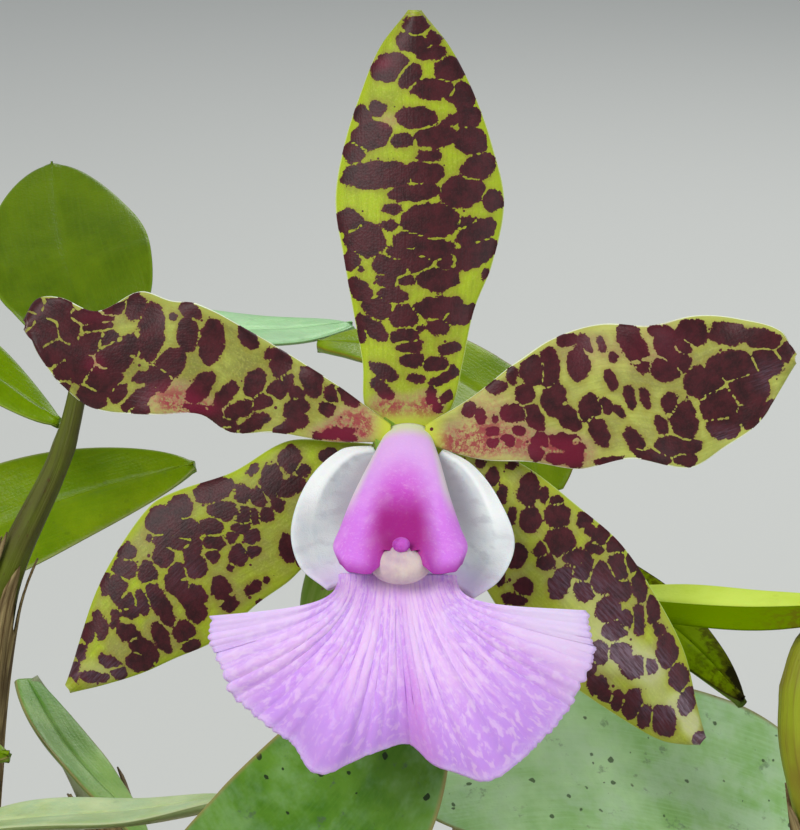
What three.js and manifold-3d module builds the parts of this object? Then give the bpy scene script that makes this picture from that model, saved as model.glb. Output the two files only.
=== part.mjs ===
// A potted Cattleya aclandiae in flower: clay pot, bark, rhizome, canes, leaves, roots and one bloom.
// Millimetres, +Z up, origin at the middle of the pot's base, the bloom facing -Y.
import * as THREE from 'three';
import { mergeVertices } from 'three/addons/utils/BufferGeometryUtils.js';
import Module from 'manifold-3d';

const wasm = await Module();
wasm.setup();

// Pot
const POT_HEIGHT = 92;
const RIM_RADIUS = 60;
const RIM_HEIGHT = 16;
const RIM_STEP = 3.5;
const FOOT_RADIUS = 41;
const WALL = 5;
const DRAIN_RADIUS = 5;
const DRAIN_CIRCLE = 24;
const DRAIN_COUNT = 5;

// Bark
const BARK_TOP = 82;
const CHIP_COUNT = 34;
const CHIP_SIZE = 12;

// Fit
const GAP = 0.36;

// Bloom, measured in the plane of its petals
const BLOOM_CENTRE = new THREE.Vector3(15, -30, 207);
const BLOOM_TILT = -18;
const TEPAL_THICKNESS = 1.0;
const LIP_THICKNESS = 0.9;
const CLAW_THICKNESS = 1.6;
const LIP_SCALE = 0.958;

// Leaves
const LEAF_MIDRIB = 1.9;
const LEAF_EDGE = 0.9;

const root = new THREE.Group();
const bloom = new THREE.Group();
bloom.position.copy(BLOOM_CENTRE);
bloom.rotation.x = THREE.MathUtils.degToRad(BLOOM_TILT);
root.add(bloom);
root.updateMatrixWorld(true);

// Repeatable draws from 0 to 1
let seed = 20417;
function draw() {
  seed = (seed * 1664525 + 1013904223) % 4294967296;
  return seed / 4294967296;
}

const vec = (p) => new THREE.Vector3(...p);
const mix = (a, b, t) => a + (b - a) * t;
const clamp = (t) => Math.min(1, Math.max(0, t));
function step(a, b, t) {
  const s = clamp((t - a) / (b - a));
  return s * s * (3 - 2 * s);
}

// A smooth curve through points, read at a share of its length; points are arrays of any size
function smoothCurve(points) {
  const reach = [0];
  for (let i = 1; i < points.length; i++) {
    const d = Math.hypot(...points[i].map((c, k) => c - points[i - 1][k]));
    reach.push(reach[i - 1] + d);
  }
  const last = points.length - 1;
  const slope = points.map((p, i) => {
    const a = Math.max(0, i - 1);
    const b = Math.min(last, i + 1);
    return p.map((c, k) => (points[b][k] - points[a][k]) / (reach[b] - reach[a]));
  });
  return (share) => {
    const at = clamp(share) * reach[last];
    let i = 0;
    while (i < last - 1 && at > reach[i + 1]) i++;
    const h = reach[i + 1] - reach[i];
    const t = (at - reach[i]) / h;
    const h00 = (1 + 2 * t) * (1 - t) * (1 - t);
    const h10 = t * (1 - t) * (1 - t);
    const h01 = t * t * (3 - 2 * t);
    const h11 = t * t * (t - 1);
    return points[i].map((c, k) =>
      h00 * c + h10 * h * slope[i][k] + h01 * points[i + 1][k] + h11 * h * slope[i + 1][k]);
  };
}

function bufferOf(positions, faces) {
  const geometry = new THREE.BufferGeometry();
  geometry.setAttribute('position', new THREE.Float32BufferAttribute(positions, 3));
  geometry.setIndex(faces);
  return geometry;
}

// A closed blade with two alike faces and a rim; middle(u, v) is its middle surface, v from -1 to 1
function blade(middle, thickness, rows, columns) {
  const nudge = 0.004;
  const front = [];
  const back = [];
  for (let i = 0; i <= rows; i++) {
    for (let j = 0; j <= columns; j++) {
      const u = i / rows;
      const v = -1 + 2 * j / columns;
      const along = middle(Math.min(1, u + nudge), v).sub(middle(Math.max(0, u - nudge), v));
      const across = middle(u, Math.min(1, v + nudge)).sub(middle(u, Math.max(-1, v - nudge)));
      const normal = across.cross(along).normalize();
      const half = thickness(u, v) / 2;
      front.push(...middle(u, v).addScaledVector(normal, half).toArray());
      back.push(...middle(u, v).addScaledVector(normal, -half).toArray());
    }
  }
  const count = (rows + 1) * (columns + 1);
  const at = (i, j) => i * (columns + 1) + j;
  const faces = [];
  for (let i = 0; i < rows; i++) {
    for (let j = 0; j < columns; j++) {
      const [a, b, c, d] = [at(i, j), at(i, j + 1), at(i + 1, j + 1), at(i + 1, j)];
      faces.push(a, b, c, a, c, d);
      faces.push(count + a, count + c, count + b, count + a, count + d, count + c);
    }
  }
  const ring = [];
  for (let j = 0; j < columns; j++) ring.push(at(0, j));
  for (let i = 0; i < rows; i++) ring.push(at(i, columns));
  for (let j = columns; j > 0; j--) ring.push(at(rows, j));
  for (let i = rows; i > 0; i--) ring.push(at(i, 0));
  ring.forEach((a, k) => {
    const b = ring[(k + 1) % ring.length];
    faces.push(a, count + a, count + b, a, count + b, b);
  });
  return bufferOf([...front, ...back], faces);
}

// A closed loft through rings; ring(u) gives the points of one section, in order round it, and
// lastMiddle moves the middle of the far end, to hollow it
function loft(ring, rings, lastMiddle) {
  const positions = [];
  const faces = [];
  let sides = 0;
  const middles = [];
  for (let i = 0; i <= rings; i++) {
    const points = ring(i / rings);
    sides = points.length;
    points.forEach((p) => positions.push(...p.toArray()));
    middles.push(points.reduce((sum, p) => sum.add(p), new THREE.Vector3()).divideScalar(sides));
  }
  if (lastMiddle) middles[rings].copy(lastMiddle);
  for (let i = 0; i < rings; i++) {
    for (let j = 0; j < sides; j++) {
      const a = i * sides + j;
      const b = i * sides + (j + 1) % sides;
      faces.push(a, b, b + sides, a, b + sides, a + sides);
    }
  }
  const base = positions.length / 3;
  positions.push(...middles[0].toArray(), ...middles[rings].toArray());
  for (let j = 0; j < sides; j++) {
    const next = (j + 1) % sides;
    faces.push(base, next, j);
    faces.push(base + 1, rings * sides + j, rings * sides + next);
  }
  return bufferOf(positions, faces);
}

// A round stem along points, its radius given along the way
function stem(points, radius, sides, rings) {
  const curve = smoothCurve(points);
  const nudge = 0.01;
  return loft((u) => {
    const centre = vec(curve(u));
    const along = vec(curve(Math.min(1, u + nudge))).sub(vec(curve(Math.max(0, u - nudge)))).normalize();
    const side = new THREE.Vector3(0.31, 0.9, 0.17).cross(along).normalize();
    const other = along.clone().cross(side);
    return Array.from({ length: sides }, (unused, j) => {
      const turn = 2 * Math.PI * j / sides;
      return centre.clone()
        .addScaledVector(side, radius(u) * Math.cos(turn))
        .addScaledVector(other, radius(u) * Math.sin(turn));
    });
  }, rings);
}

// Positions alone, with those that coincide made one
const MERGE_WITHIN = 1e-4;
function mergedOf(geometry) {
  const bare = new THREE.BufferGeometry();
  bare.setAttribute('position', geometry.getAttribute('position').clone());
  if (geometry.index) bare.setIndex(geometry.index.clone());
  return mergeVertices(bare, MERGE_WITHIN);
}

// Solids for joining and cutting
function solid(geometry) {
  const merged = mergedOf(geometry);
  return new wasm.Manifold(new wasm.Mesh({
    numProp: 3,
    vertProperties: new Float32Array(merged.getAttribute('position').array),
    triVerts: new Uint32Array(merged.index.array),
  }));
}

// The largest body of a solid, without loose scraps, as a geometry
function geometryOf(made) {
  const bodies = made.decompose();
  const largest = bodies.reduce((a, b) => (b.volume() > a.volume() ? b : a));
  const mesh = largest.getMesh();
  return bufferOf(Array.from(mesh.vertProperties), Array.from(mesh.triVerts));
}

// A copy made fatter all over, for cutting a clear seat in a neighbour
function fatter(geometry, by) {
  const merged = mergedOf(geometry);
  merged.computeVertexNormals();
  const place = merged.getAttribute('position');
  const normal = merged.getAttribute('normal');
  for (let i = 0; i < place.count; i++) {
    place.setXYZ(i, place.getX(i) + by * normal.getX(i), place.getY(i) + by * normal.getY(i),
      place.getZ(i) + by * normal.getZ(i));
  }
  return merged;
}

function clearOf(geometry, neighbours, gap = GAP) {
  let made = solid(geometry);
  for (const other of neighbours) made = made.subtract(solid(fatter(other, gap)));
  return geometryOf(made);
}

function joined(geometries) {
  return geometryOf(geometries.map(solid).reduce((a, b) => a.add(b)));
}

function add(name, geometry, color, roughness, parent = root) {
  const material = new THREE.MeshStandardMaterial({ color, roughness, metalness: 0 });
  const mesh = new THREE.Mesh(geometry, material);
  mesh.name = name;
  parent.add(mesh);
  return geometry;
}

// A geometry given in the bloom's frame, moved to the plant's frame, and the other way round
const toPlant = (geometry) => geometry.clone().applyMatrix4(bloom.matrixWorld);
const toBloom = (geometry) => geometry.clone().applyMatrix4(bloom.matrixWorld.clone().invert());

// A profile of radius and height turned round the pot's axis
const turned = (profile, sides) => new THREE.LatheGeometry(profile, sides).rotateX(Math.PI / 2);

// Pot, turned from one profile, with drain holes round a solid middle
function potGeometry() {
  const foot = new THREE.Vector2(FOOT_RADIUS, 0);
  const shoulder = POT_HEIGHT - RIM_HEIGHT;
  const shoulderRadius = RIM_RADIUS - RIM_STEP;
  const profile = [
    new THREE.Vector2(0, 0),
    foot,
    new THREE.Vector2(shoulderRadius, shoulder),
    new THREE.Vector2(RIM_RADIUS - 0.8, shoulder),
    new THREE.Vector2(RIM_RADIUS, shoulder + 1.5),
    new THREE.Vector2(RIM_RADIUS, POT_HEIGHT - 1.5),
    new THREE.Vector2(RIM_RADIUS - 1.5, POT_HEIGHT),
    new THREE.Vector2(RIM_RADIUS - WALL + 1, POT_HEIGHT),
    new THREE.Vector2(RIM_RADIUS - WALL, POT_HEIGHT - 1.5),
    new THREE.Vector2(shoulderRadius - WALL, shoulder - 2),
    new THREE.Vector2(FOOT_RADIUS - WALL + 1, WALL + 1),
    new THREE.Vector2(0, WALL + 1),
  ];
  let made = solid(turned(profile, 40));
  for (let i = 0; i < DRAIN_COUNT; i++) {
    const turn = 2 * Math.PI * i / DRAIN_COUNT;
    const hole = new THREE.CylinderGeometry(DRAIN_RADIUS, DRAIN_RADIUS, 3 * WALL, 12);
    hole.rotateX(Math.PI / 2);
    hole.translate(DRAIN_CIRCLE * Math.cos(turn), DRAIN_CIRCLE * Math.sin(turn), WALL / 2);
    made = made.subtract(solid(hole));
  }
  return geometryOf(made);
}
const pot = add('pot', potGeometry(), 0xb5653f, 0.85);

// Rhizome: a creeping stem half sunk in the bark, with one branch
const RHIZOME_Z = BARK_TOP + 2;
const rhizomeStems = [
  stem([[-12, 32, RHIZOME_Z - 1], [-28, 28, RHIZOME_Z], [-39, 15, RHIZOME_Z], [-33, 0, RHIZOME_Z],
    [-18, -13, RHIZOME_Z], [-5, -21, RHIZOME_Z], [6, -24, RHIZOME_Z - 1]], (u) => 4 - 1.2 * u, 8, 16),
  stem([[-34, 4, RHIZOME_Z], [-14, 7, RHIZOME_Z - 1], [8, 11, RHIZOME_Z], [24, 9, RHIZOME_Z],
    [38, -1, RHIZOME_Z], [41, -16, RHIZOME_Z], [38, -29, RHIZOME_Z - 1]], (u) => 3.8 - 1 * u, 8, 16),
];
add('rhizome', joined(rhizomeStems), 0x6f7a3a, 0.7);

// Canes, each thickest in its upper half, with its points from the rhizome to its apex
const CANES = {
  flowering: { points: [[-6, -21, 84], [-12, -27, 105], [-16, -31, 126], [-16.5, -32, 143]], radius: 4.2 },
  right: {
    points: [[40, -22, 84], [58, -30, 112], [67, -31, 140], [66, -29.5, 157], [63, -28, 168],
      [62.8, -26.5, 174], [64.2, -24.8, 179], [68.8, -23.6, 181.4]],
    radius: 3.8,
  },
  right_low: { points: [[39, -5, 84], [52, -2, 104], [65, -4, 124], [72, -8, 140]], radius: 4.0 },
  behind: { points: [[18, 10, 84], [22, 11, 120], [28, 8, 155], [32, 6, 186]], radius: 3.4 },
  left: {
    points: [[-36, 4, 84], [-42, 5, 125], [-38.5, 9, 171], [-30, 13, 191], [-27, 16, 203]],
    radius: 2.1,
  },
  left_front: { points: [[-33, -1, 84], [-40, -6, 106], [-45, -10, 128], [-45, -11, 146]], radius: 2.8 },
  left_far: { points: [[-37, 19, 84], [-50, 22, 112], [-60, 24, 142], [-65, 25, 165]], radius: 3.6 },
  old: { points: [[-16, 31, 83], [-22, 27, 112], [-28, 26, 136], [-38, 30, 151]], radius: 3.2 },
};
const caneRadius = (most) => (u) => most * (0.55 + 0.45 * step(0, 0.55, u)) * (1 - 0.45 * step(0.72, 1, u));
const canes = {};
for (const [name, { points, radius }] of Object.entries(CANES)) {
  canes[name] = stem(points, caneRadius(radius), 9, 10);
  add(`cane_${name}`, clearOf(canes[name], rhizomeStems), 0x7f8433, 0.55);
}

// Ovary and pedicel: from the flowering cane's apex to the back of the bloom, flared where they carry it
const PEDICEL = [[-15.6, -30.2, 146], [-10.5, -27.6, 150], [-4.7, -25.9, 155.5], [0, -24.6, 162.2],
  [2.8, -24.2, 170], [4.1, -23.8, 177.7], [4.6, -23.4, 185.1], [7.5, -23, 192.9], [12.3, -25.5, 201.4],
  [14.8, -29.2, 206.6]];
const PEDICEL_RADIUS = 1.9;
const OVARY_RADIUS = 2.7;
const FLARE = 1.1;
const pedicelRadius = (u) => mix(PEDICEL_RADIUS, OVARY_RADIUS, step(0.35, 0.8, u)) + FLARE * step(0.93, 1, u);
const pedicel = stem(PEDICEL, pedicelRadius, 10, 20);

// Leaves: spine from the cane's apex to the tip, the way the upper face looks, and half the width
const LEAVES = {
  flowering_upper: { cane: 'flowering', spine: [[-15, -33, 144], [-0.9, -37.7, 154], [8.4, -38, 165],
    [14, -36, 175], [20, -32, 183]], face: [-0.3, -0.85, 0.5], half: 12.5, fold: 0.16 },
  flowering_lower: { cane: 'flowering', spine: [[-18, -31.5, 143], [-29, -33, 143], [-44, -37, 138],
    [-59, -41, 128]], face: [0.1, -0.35, 0.95], half: 12, fold: 0.2 },
  right_low_inner: { cane: 'right_low', spine: [[71, -7.5, 141.5], [54, -13.4, 152], [35.2, -19.7, 158.5],
    [15, -24.5, 158.5]], face: [-0.2, -0.6, 0.77], half: 15.5, fold: 0.1 },
  right_low_outer: { cane: 'right_low', spine: [[73, -7, 141], [84, 2, 147], [94, 14, 147],
    [100, 27, 140]], face: [0.1, -0.3, 0.95], half: 12.5, fold: 0.16 },
  right_inner: { cane: 'right', spine: [[67.6, -23.2, 182.8], [61.6, -23.1, 182.5], [55.3, -22.1, 182.1],
    [47.5, -19.3, 181.5], [40, -15.4, 180.7], [32, -11.2, 179.9]], face: [0, -0.1, 0.99], half: 5.4,
    fold: 0.1 },
  right_outer: { cane: 'right', spine: [[70.6, -23.8, 182.2], [79, -22, 191], [88.5, -18, 198], [97, -12, 201]],
    face: [-0.4, -0.3, 0.85], half: 10, fold: 0.2 },
  behind_front: { cane: 'behind', spine: [[33.6, 4, 183.5], [40.9, -1.7, 177.7], [46.9, -7.7, 175.2],
    [51.9, -15.8, 173.1], [56, -22, 170.1]], face: [0.3, -0.8, 0.55], half: 4.3, fold: 0.15 },
  behind_back: { cane: 'behind', spine: [[31.7, 6.6, 187], [29.7, 11.1, 194.3], [22.6, 14.7, 198.9],
    [15.6, 17.8, 202], [8.5, 20.1, 202.7], [3.2, 21.2, 202.7]], face: [0, -0.21, 0.98], half: 8, fold: 0.18 },
  left_upper: { cane: 'left', spine: [[-26.3, 16.6, 204.2], [-27.7, 21.1, 209], [-29.7, 26.5, 212.7],
    [-31.7, 34.1, 216.5], [-33.6, 44.1, 221.5]], face: [0.1, -0.85, 0.45], half: 10.8, fold: 0.12 },
  left_inner: { cane: 'left', spine: [[-25.8, 16.1, 203.4], [-17.5, 19.7, 204.6], [-5.8, 23.6, 203.6],
    [0.7, 26.3, 203], [7.6, 29.4, 202.8]], face: [0, -0.03, 1], half: 7.5, fold: 0.15 },
  left_front_long: { cane: 'left_front', spine: [[-44.6, -11.6, 147.2], [-36.8, -13, 149.2],
    [-29.1, -13.7, 150.3], [-18.8, -14.4, 151.4], [-7.1, -15.7, 154.1]], face: [0, 0.14, 0.99], half: 6,
    fold: 0.2 },
  left_front_short: { cane: 'left_front', spine: [[-45.8, -9.4, 146.8], [-50, -6.5, 151], [-48, -3.4, 154.2],
    [-42.5, -2.2, 155], [-36.6, -2.6, 154.2]], face: [0.2, -0.5, 0.85], half: 4.2, fold: 0.2 },
  left_far_arched: { cane: 'left_far', spine: [[-65, 26, 166], [-62, 29, 188], [-48, 26, 200],
    [-31, 18, 193]], face: [0.6, -0.65, 0.5], half: 7, fold: 0.15 },
  left_far_inner: { cane: 'left_far', spine: [[-63, 24.5, 165.5], [-51, 26.4, 170.2], [-32.5, 29.8, 177.5],
    [-14, 30.5, 182.7]], face: [0.05, -0.6, 0.8], half: 9, fold: 0.2 },
  old_drooping: { cane: 'old', spine: [[-38.2, 28.9, 151.4], [-32.2, 19.6, 146], [-27.8, 14.4, 143.2],
    [-23.1, 11.1, 139.5], [-19.6, 7.9, 135.9]], face: [0.5, -0.3, 0.8], half: 4, fold: 0.3 },
};
const leafWidth = (u) => Math.max(0.07, Math.sin(Math.PI * Math.pow(mix(0.055, 1, u), 0.85)) ** 0.62);
function leafGeometry({ spine, face, half, fold }) {
  const curve = smoothCurve(spine);
  const looks = vec(face).normalize();
  const nudge = 0.01;
  const middle = (u, v) => {
    const centre = vec(curve(u));
    const along = vec(curve(Math.min(1, u + nudge))).sub(vec(curve(Math.max(0, u - nudge)))).normalize();
    const side = along.clone().cross(looks).normalize();
    const up = side.clone().cross(along);
    const width = half * leafWidth(u);
    return centre.addScaledVector(side, width * v)
      .addScaledVector(up, fold * width * Math.pow(Math.abs(v), 1.4) - 0.02 * width);
  };
  return blade(middle, (u, v) => mix(LEAF_MIDRIB, LEAF_EDGE, Math.abs(v)), 10, 4);
}
const leaves = {};
for (const [name, leaf] of Object.entries(LEAVES)) {
  const sisters = Object.keys(leaves).filter((other) => LEAVES[other].cane === leaf.cane);
  const cutters = [canes[leaf.cane], pedicel, ...sisters.map((other) => leaves[other])];
  leaves[name] = add(`leaf_${name}`, clearOf(leafGeometry(leaf), cutters), 0x5f8a35, 0.4);
}

// Bloom. Outlines are pairs of x and z from the bloom's centre, each from the base to the tip
const TEPALS = {
  sepal_dorsal: {
    left: [[-2.6, 1.2], [-5.0, 3.4], [-5.3, 8.6], [-6.4, 14.8], [-7.4, 20.4], [-8.5, 27.7], [-7.5, 34.3],
      [-5.6, 40.3], [-3.2, 46.0], [0.2, 50.1]],
    right: [[2.8, 1.2], [5.1, 3.4], [6.4, 8.6], [7.7, 14.8], [9.9, 20.4], [11.3, 27.7], [9.9, 34.3],
      [7.8, 40.3], [4.9, 46.0], [1.4, 50.1]],
    depth: 1.9, lean: 1.5, cup: 1.6, waves: 2, wave: 0.25,
  },
  petal_left: {
    left: [[-2.0, -0.6], [-9.2, -0.5], [-15.5, 0.5], [-20.8, 0.6], [-24.4, 2.7], [-29.8, 2.6], [-36.9, 3.4],
      [-40.5, 6.1], [-42.8, 9.1], [-44.6, 12.6]],
    right: [[-2.0, 1.5], [-9.2, 6.7], [-17.9, 12.0], [-24.4, 15.5], [-27.6, 15.9], [-31.4, 17.0],
      [-36.4, 14.7], [-40.7, 16.3], [-43.4, 16.1], [-44.8, 13.6]],
    depth: -0.4, lean: 1.2, cup: 0.6, waves: 3, wave: 1.1,
  },
  petal_right: {
    left: [[2.0, 1.4], [7.5, 4.7], [12.3, 8.5], [17.2, 11.6], [22.6, 13.2], [28.1, 13.0], [33.7, 14.2],
      [38.4, 13.9], [43.5, 12.4], [45.2, 9.6]],
    right: [[2.0, -0.8], [8.5, -2.6], [14.4, -2.9], [20.2, -3.7], [26.0, -2.5], [32.9, -3.6], [36.8, -1.4],
      [40.9, 1.6], [43.6, 5.8], [45.2, 8.7]],
    depth: -0.4, lean: 1.4, cup: 0.6, waves: 3, wave: 1.1,
  },
  sepal_left: {
    left: [[-1.6, -3.8], [-7.6, -9.7], [-13.5, -16.5], [-17.7, -19.6], [-22.6, -23.9], [-27.5, -26.1],
      [-31.6, -27.9], [-36.4, -29.3], [-39.9, -29.9]],
    right: [[-3.2, -0.9], [-9.5, -0.4], [-14.4, -0.6], [-20.7, -4.2], [-27.2, -6.4], [-30.4, -8.2],
      [-35.0, -14.8], [-37.5, -20.4], [-40.0, -29.2]],
    depth: 2.4, lean: 0.8, cup: 1.3, waves: 2, wave: 0.3,
  },
  sepal_right: {
    left: [[3.0, -0.9], [9.0, -1.6], [13.7, -3.4], [20.0, -8.2], [25.2, -12.8], [29.9, -20.0], [32.6, -25.6],
      [34.1, -32.2], [34.8, -35.5]],
    right: [[1.4, -3.8], [5.5, -11.0], [9.4, -18.2], [14.2, -25.0], [20.0, -29.7], [26.4, -33.9],
      [29.8, -35.7], [32.4, -36.1], [34.4, -36.0]],
    depth: 2.4, lean: 0.8, cup: 1.3, waves: 2, wave: 0.3,
  },
};
// Rows crowd towards the tip, where the outline turns most
const towardsTip = (u) => 1 - Math.pow(1 - u, 1.35);
function tepalMiddle({ left, right, depth, lean, cup, waves, wave }) {
  const a = smoothCurve(left);
  const b = smoothCurve(right);
  return (u, v) => {
    const s = towardsTip(u);
    const [ax, az] = a(s);
    const [bx, bz] = b(s);
    const t = (v + 1) / 2;
    const free = step(0.05, 0.3, s);
    const ripple = wave * free * v * v * Math.sin(2 * Math.PI * waves * s + (v > 0 ? 1.3 : 0));
    const y = depth + lean * s * s + cup * free * (v * v - 0.3) + ripple;
    return new THREE.Vector3(mix(ax, bx, t), y, mix(az, bz, t));
  };
}

// Column: a hood from the bloom's centre forwards and down, arched above, its end an arch between wings
const COLUMN_PATH = [[0, 0.6, 0.4], [-0.3, -3.4, -2.6], [-0.8, -8, -7], [-0.9, -12, -11.5],
  [-0.8, -14.8, -14.5]];
const COLUMN_HALF_WIDTH = [[0, 2.6], [0.18, 3.9], [0.36, 5.6], [0.55, 6.9], [0.78, 7.6], [1, 6.9]];
const COLUMN_RISE = 3.1;
const COLUMN_BELLY = 1.4;
const COLUMN_WING = 3.5;
const COLUMN_SLANT = 0.93;
const COLUMN_HOLLOW = new THREE.Vector3(-0.8, -14.2, -12.4);
const columnPath = smoothCurve(COLUMN_PATH);
const columnHalfWidth = smoothCurve(COLUMN_HALF_WIDTH);
// How far the end reaches past the arch: most in the wings, a little less at their outer edge
const wingReach = (c) => COLUMN_WING * step(0.32, 0.5, Math.abs(c)) * (1 - 0.3 * step(0.85, 1, Math.abs(c)));
function columnRing(u) {
  const centre = vec(columnPath(u));
  const nudge = 0.02;
  const ahead = vec(columnPath(Math.min(1, u + nudge)));
  const along = ahead.sub(vec(columnPath(Math.max(0, u - nudge)))).normalize();
  const side = new THREE.Vector3(1, 0, 0);
  const top = side.clone().cross(along).normalize().multiplyScalar(-1);
  const width = columnHalfWidth(u)[1];
  const sides = 20;
  return Array.from({ length: sides }, (unused, j) => {
    const turn = 2 * Math.PI * j / sides;
    const c = Math.cos(turn);
    const s = Math.sin(turn);
    const rise = s > 0 ? COLUMN_RISE * mix(0.5, 1, u) * s : COLUMN_BELLY * s * mix(1, 0.5, u);
    // The slant turns the hollow end straight down
    const reach = wingReach(c) + COLUMN_SLANT * (rise - COLUMN_RISE);
    return centre.clone().addScaledVector(side, width * c).addScaledVector(top, rise)
      .addScaledVector(along, reach * step(0.6, 1, u));
  });
}
const column = loft(columnRing, 10, COLUMN_HOLLOW);

// Anther cap: a cream knob in the arch of the hood's end
const ANTHER_PLACE = [-0.9, -15.9, -14.2];
const ANTHER_SIZE = [3.4, 2.2, 2.2];
const anther = new THREE.SphereGeometry(1, 12, 8);
anther.scale(...ANTHER_SIZE);
anther.translate(...ANTHER_PLACE);

// Lip, joined from its claw, its two side lobes and its midlobe, which spreads from a broad neck
const NECK_LEFT = [-8.2, -16.1];
const NECK_RIGHT = [5.7, -16.3];
const LIP_HUB = [-0.8, -18.5];
const LIP_EDGE = [[-23.2, -20.8], [-22.9, -24.3], [-21.7, -27.0], [-20.5, -30.1], [-17.0, -33.3],
  [-13.5, -35.8], [-11.3, -38.8], [-9.7, -39.1], [-7.4, -38.1], [-3.5, -36.5], [0.1, -35.8], [3.2, -38.2],
  [5.8, -39.1], [9.0, -40.0], [12.0, -38.5], [16.2, -34.7], [18.8, -31.6], [20.3, -28.6], [21.6, -25.4],
  [20.8, -20.2]];
const LIP_FRONT = -14.5;
const lipEdge = smoothCurve(LIP_EDGE);
const cubic = (a, b, c, d, t) =>
  (1 - t) ** 3 * a + 3 * (1 - t) ** 2 * t * b + 3 * (1 - t) * t * t * c + t ** 3 * d;
function midlobeMiddle(u, v) {
  const t = (v + 1) / 2;
  const neck = NECK_LEFT.map((c, k) => mix(c, NECK_RIGHT[k], t));
  const edge = lipEdge(t);
  // Each vein leaves the neck straight down and meets the edge as if it came from the hub
  const drop = mix(6.5, 3.15, v * v);
  const pull = mix(0.33, 0.53, v * v);
  const x = cubic(neck[0], neck[0], mix(edge[0], LIP_HUB[0], pull), edge[0], u);
  const z = cubic(neck[1], neck[1] - drop, mix(edge[1], LIP_HUB[1], pull), edge[1], u);
  const folds = 0.35 * u * Math.cos(9 * Math.PI * v) + 0.8 * u * u * Math.cos(3.2 * Math.PI * v);
  const belly = 1.6 * (1 - step(0, 0.3, u)) - 3.2 * Math.sin(Math.PI * Math.min(1, 0.75 * u)) + 2.6 * u ** 4;
  return new THREE.Vector3(x * LIP_SCALE, LIP_FRONT + belly + folds, z * LIP_SCALE);
}
const CLAW = [[0, -1.5, -4.5], [-0.4, -5.2, -8.5], [-0.9, -9.6, -13.0], [-1.1, -12.4, -15.9]];
const CLAW_HALF_WIDTH = [3.4, 5.8];
const clawPath = smoothCurve(CLAW);
function clawMiddle(u, v) {
  const [x, y, z] = clawPath(u);
  const half = mix(...CLAW_HALF_WIDTH, u);
  return new THREE.Vector3(x + half * v, y - 1.4 * v * v, z + 1.2 * v * v);
}
const SIDE_LOBES = {
  left: {
    inner: [[-2.6, -1.5, -2.6], [-4.2, -4.6, -6.2], [-4.9, -8.6, -11.0], [-4.9, -12.0, -15.6]],
    outer: [[-4.4, -1.2, -1.2], [-7.8, -2.0, -1.5], [-11.6, -4.2, -5.1], [-13.4, -6.6, -10.4],
      [-12.4, -9.0, -14.6], [-9.2, -11.6, -17.2]],
  },
  right: {
    inner: [[2.6, -1.5, -2.6], [4.0, -4.6, -6.2], [4.2, -8.6, -11.0], [3.6, -12.0, -15.6]],
    outer: [[4.2, -1.2, -1.6], [7.4, -2.0, -3.2], [10.4, -4.2, -7.0], [12.2, -6.6, -12.0],
      [10.6, -9.0, -16.0], [7.4, -11.6, -18.2]],
  },
};
function sideLobeMiddle({ inner, outer }) {
  const a = smoothCurve(inner);
  const b = smoothCurve(outer);
  return (u, v) => {
    const t = (v + 1) / 2;
    const p = vec(a(u)).lerp(vec(b(u)), t);
    p.y += 2.6 * Math.sin(Math.PI * t) * Math.sin(Math.PI * mix(0.12, 0.92, u));
    p.y += 2.2 * step(0.72, 1, t) * (1 - step(0.3, 0.6, u));
    return p;
  };
}
const lipPieces = [
  blade(midlobeMiddle, () => LIP_THICKNESS, 6, 28),
  blade(clawMiddle, () => CLAW_THICKNESS, 5, 4),
  blade((u, v) => sideLobeMiddle(SIDE_LOBES.left)(u, v), () => LIP_THICKNESS, 8, 5),
  blade((u, v) => sideLobeMiddle(SIDE_LOBES.right)(u, -v), () => LIP_THICKNESS, 8, 5),
];

const COLUMN_COLOR = 0xc44fb4;
add('column', column, COLUMN_COLOR, 0.45, bloom);
const ovary = clearOf(toBloom(pedicel), [column, toBloom(canes.flowering)]);
add('ovary_and_pedicel', ovary, 0x8fa347, 0.5, bloom);
const cap = add('anther_cap', clearOf(anther, [column]), 0xe6dccf, 0.4, bloom);
const placed = [column, ovary, cap];
const petals = ['petal_left', 'petal_right'];
const sepals = ['sepal_dorsal', 'sepal_left', 'sepal_right'];
for (const name of [...petals, ...sepals]) {
  const whole = blade(tepalMiddle(TEPALS[name]), () => TEPAL_THICKNESS, 16, 4);
  const geometry = clearOf(whole, placed);
  add(name, geometry, 0x9a9a40, 0.45, bloom);
  placed.push(geometry);
}
add('lip', clearOf(joined(lipPieces), placed), 0xe2b5f2, 0.55, bloom);

// Sheath: the dry spathe that the pedicel rises from
const SPATHE = [[-15.8, -30.4, 144.8], [-10.8, -27.8, 150.2], [-6.7, -26.4, 155.6]];
const spathe = stem(SPATHE, (u) => mix(3.6, 2.9, u), 9, 5);
add('spathe', clearOf(spathe, [toPlant(ovary), canes.flowering, leaves.flowering_upper,
  leaves.flowering_lower]), 0x9c6a86, 0.6);

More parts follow.
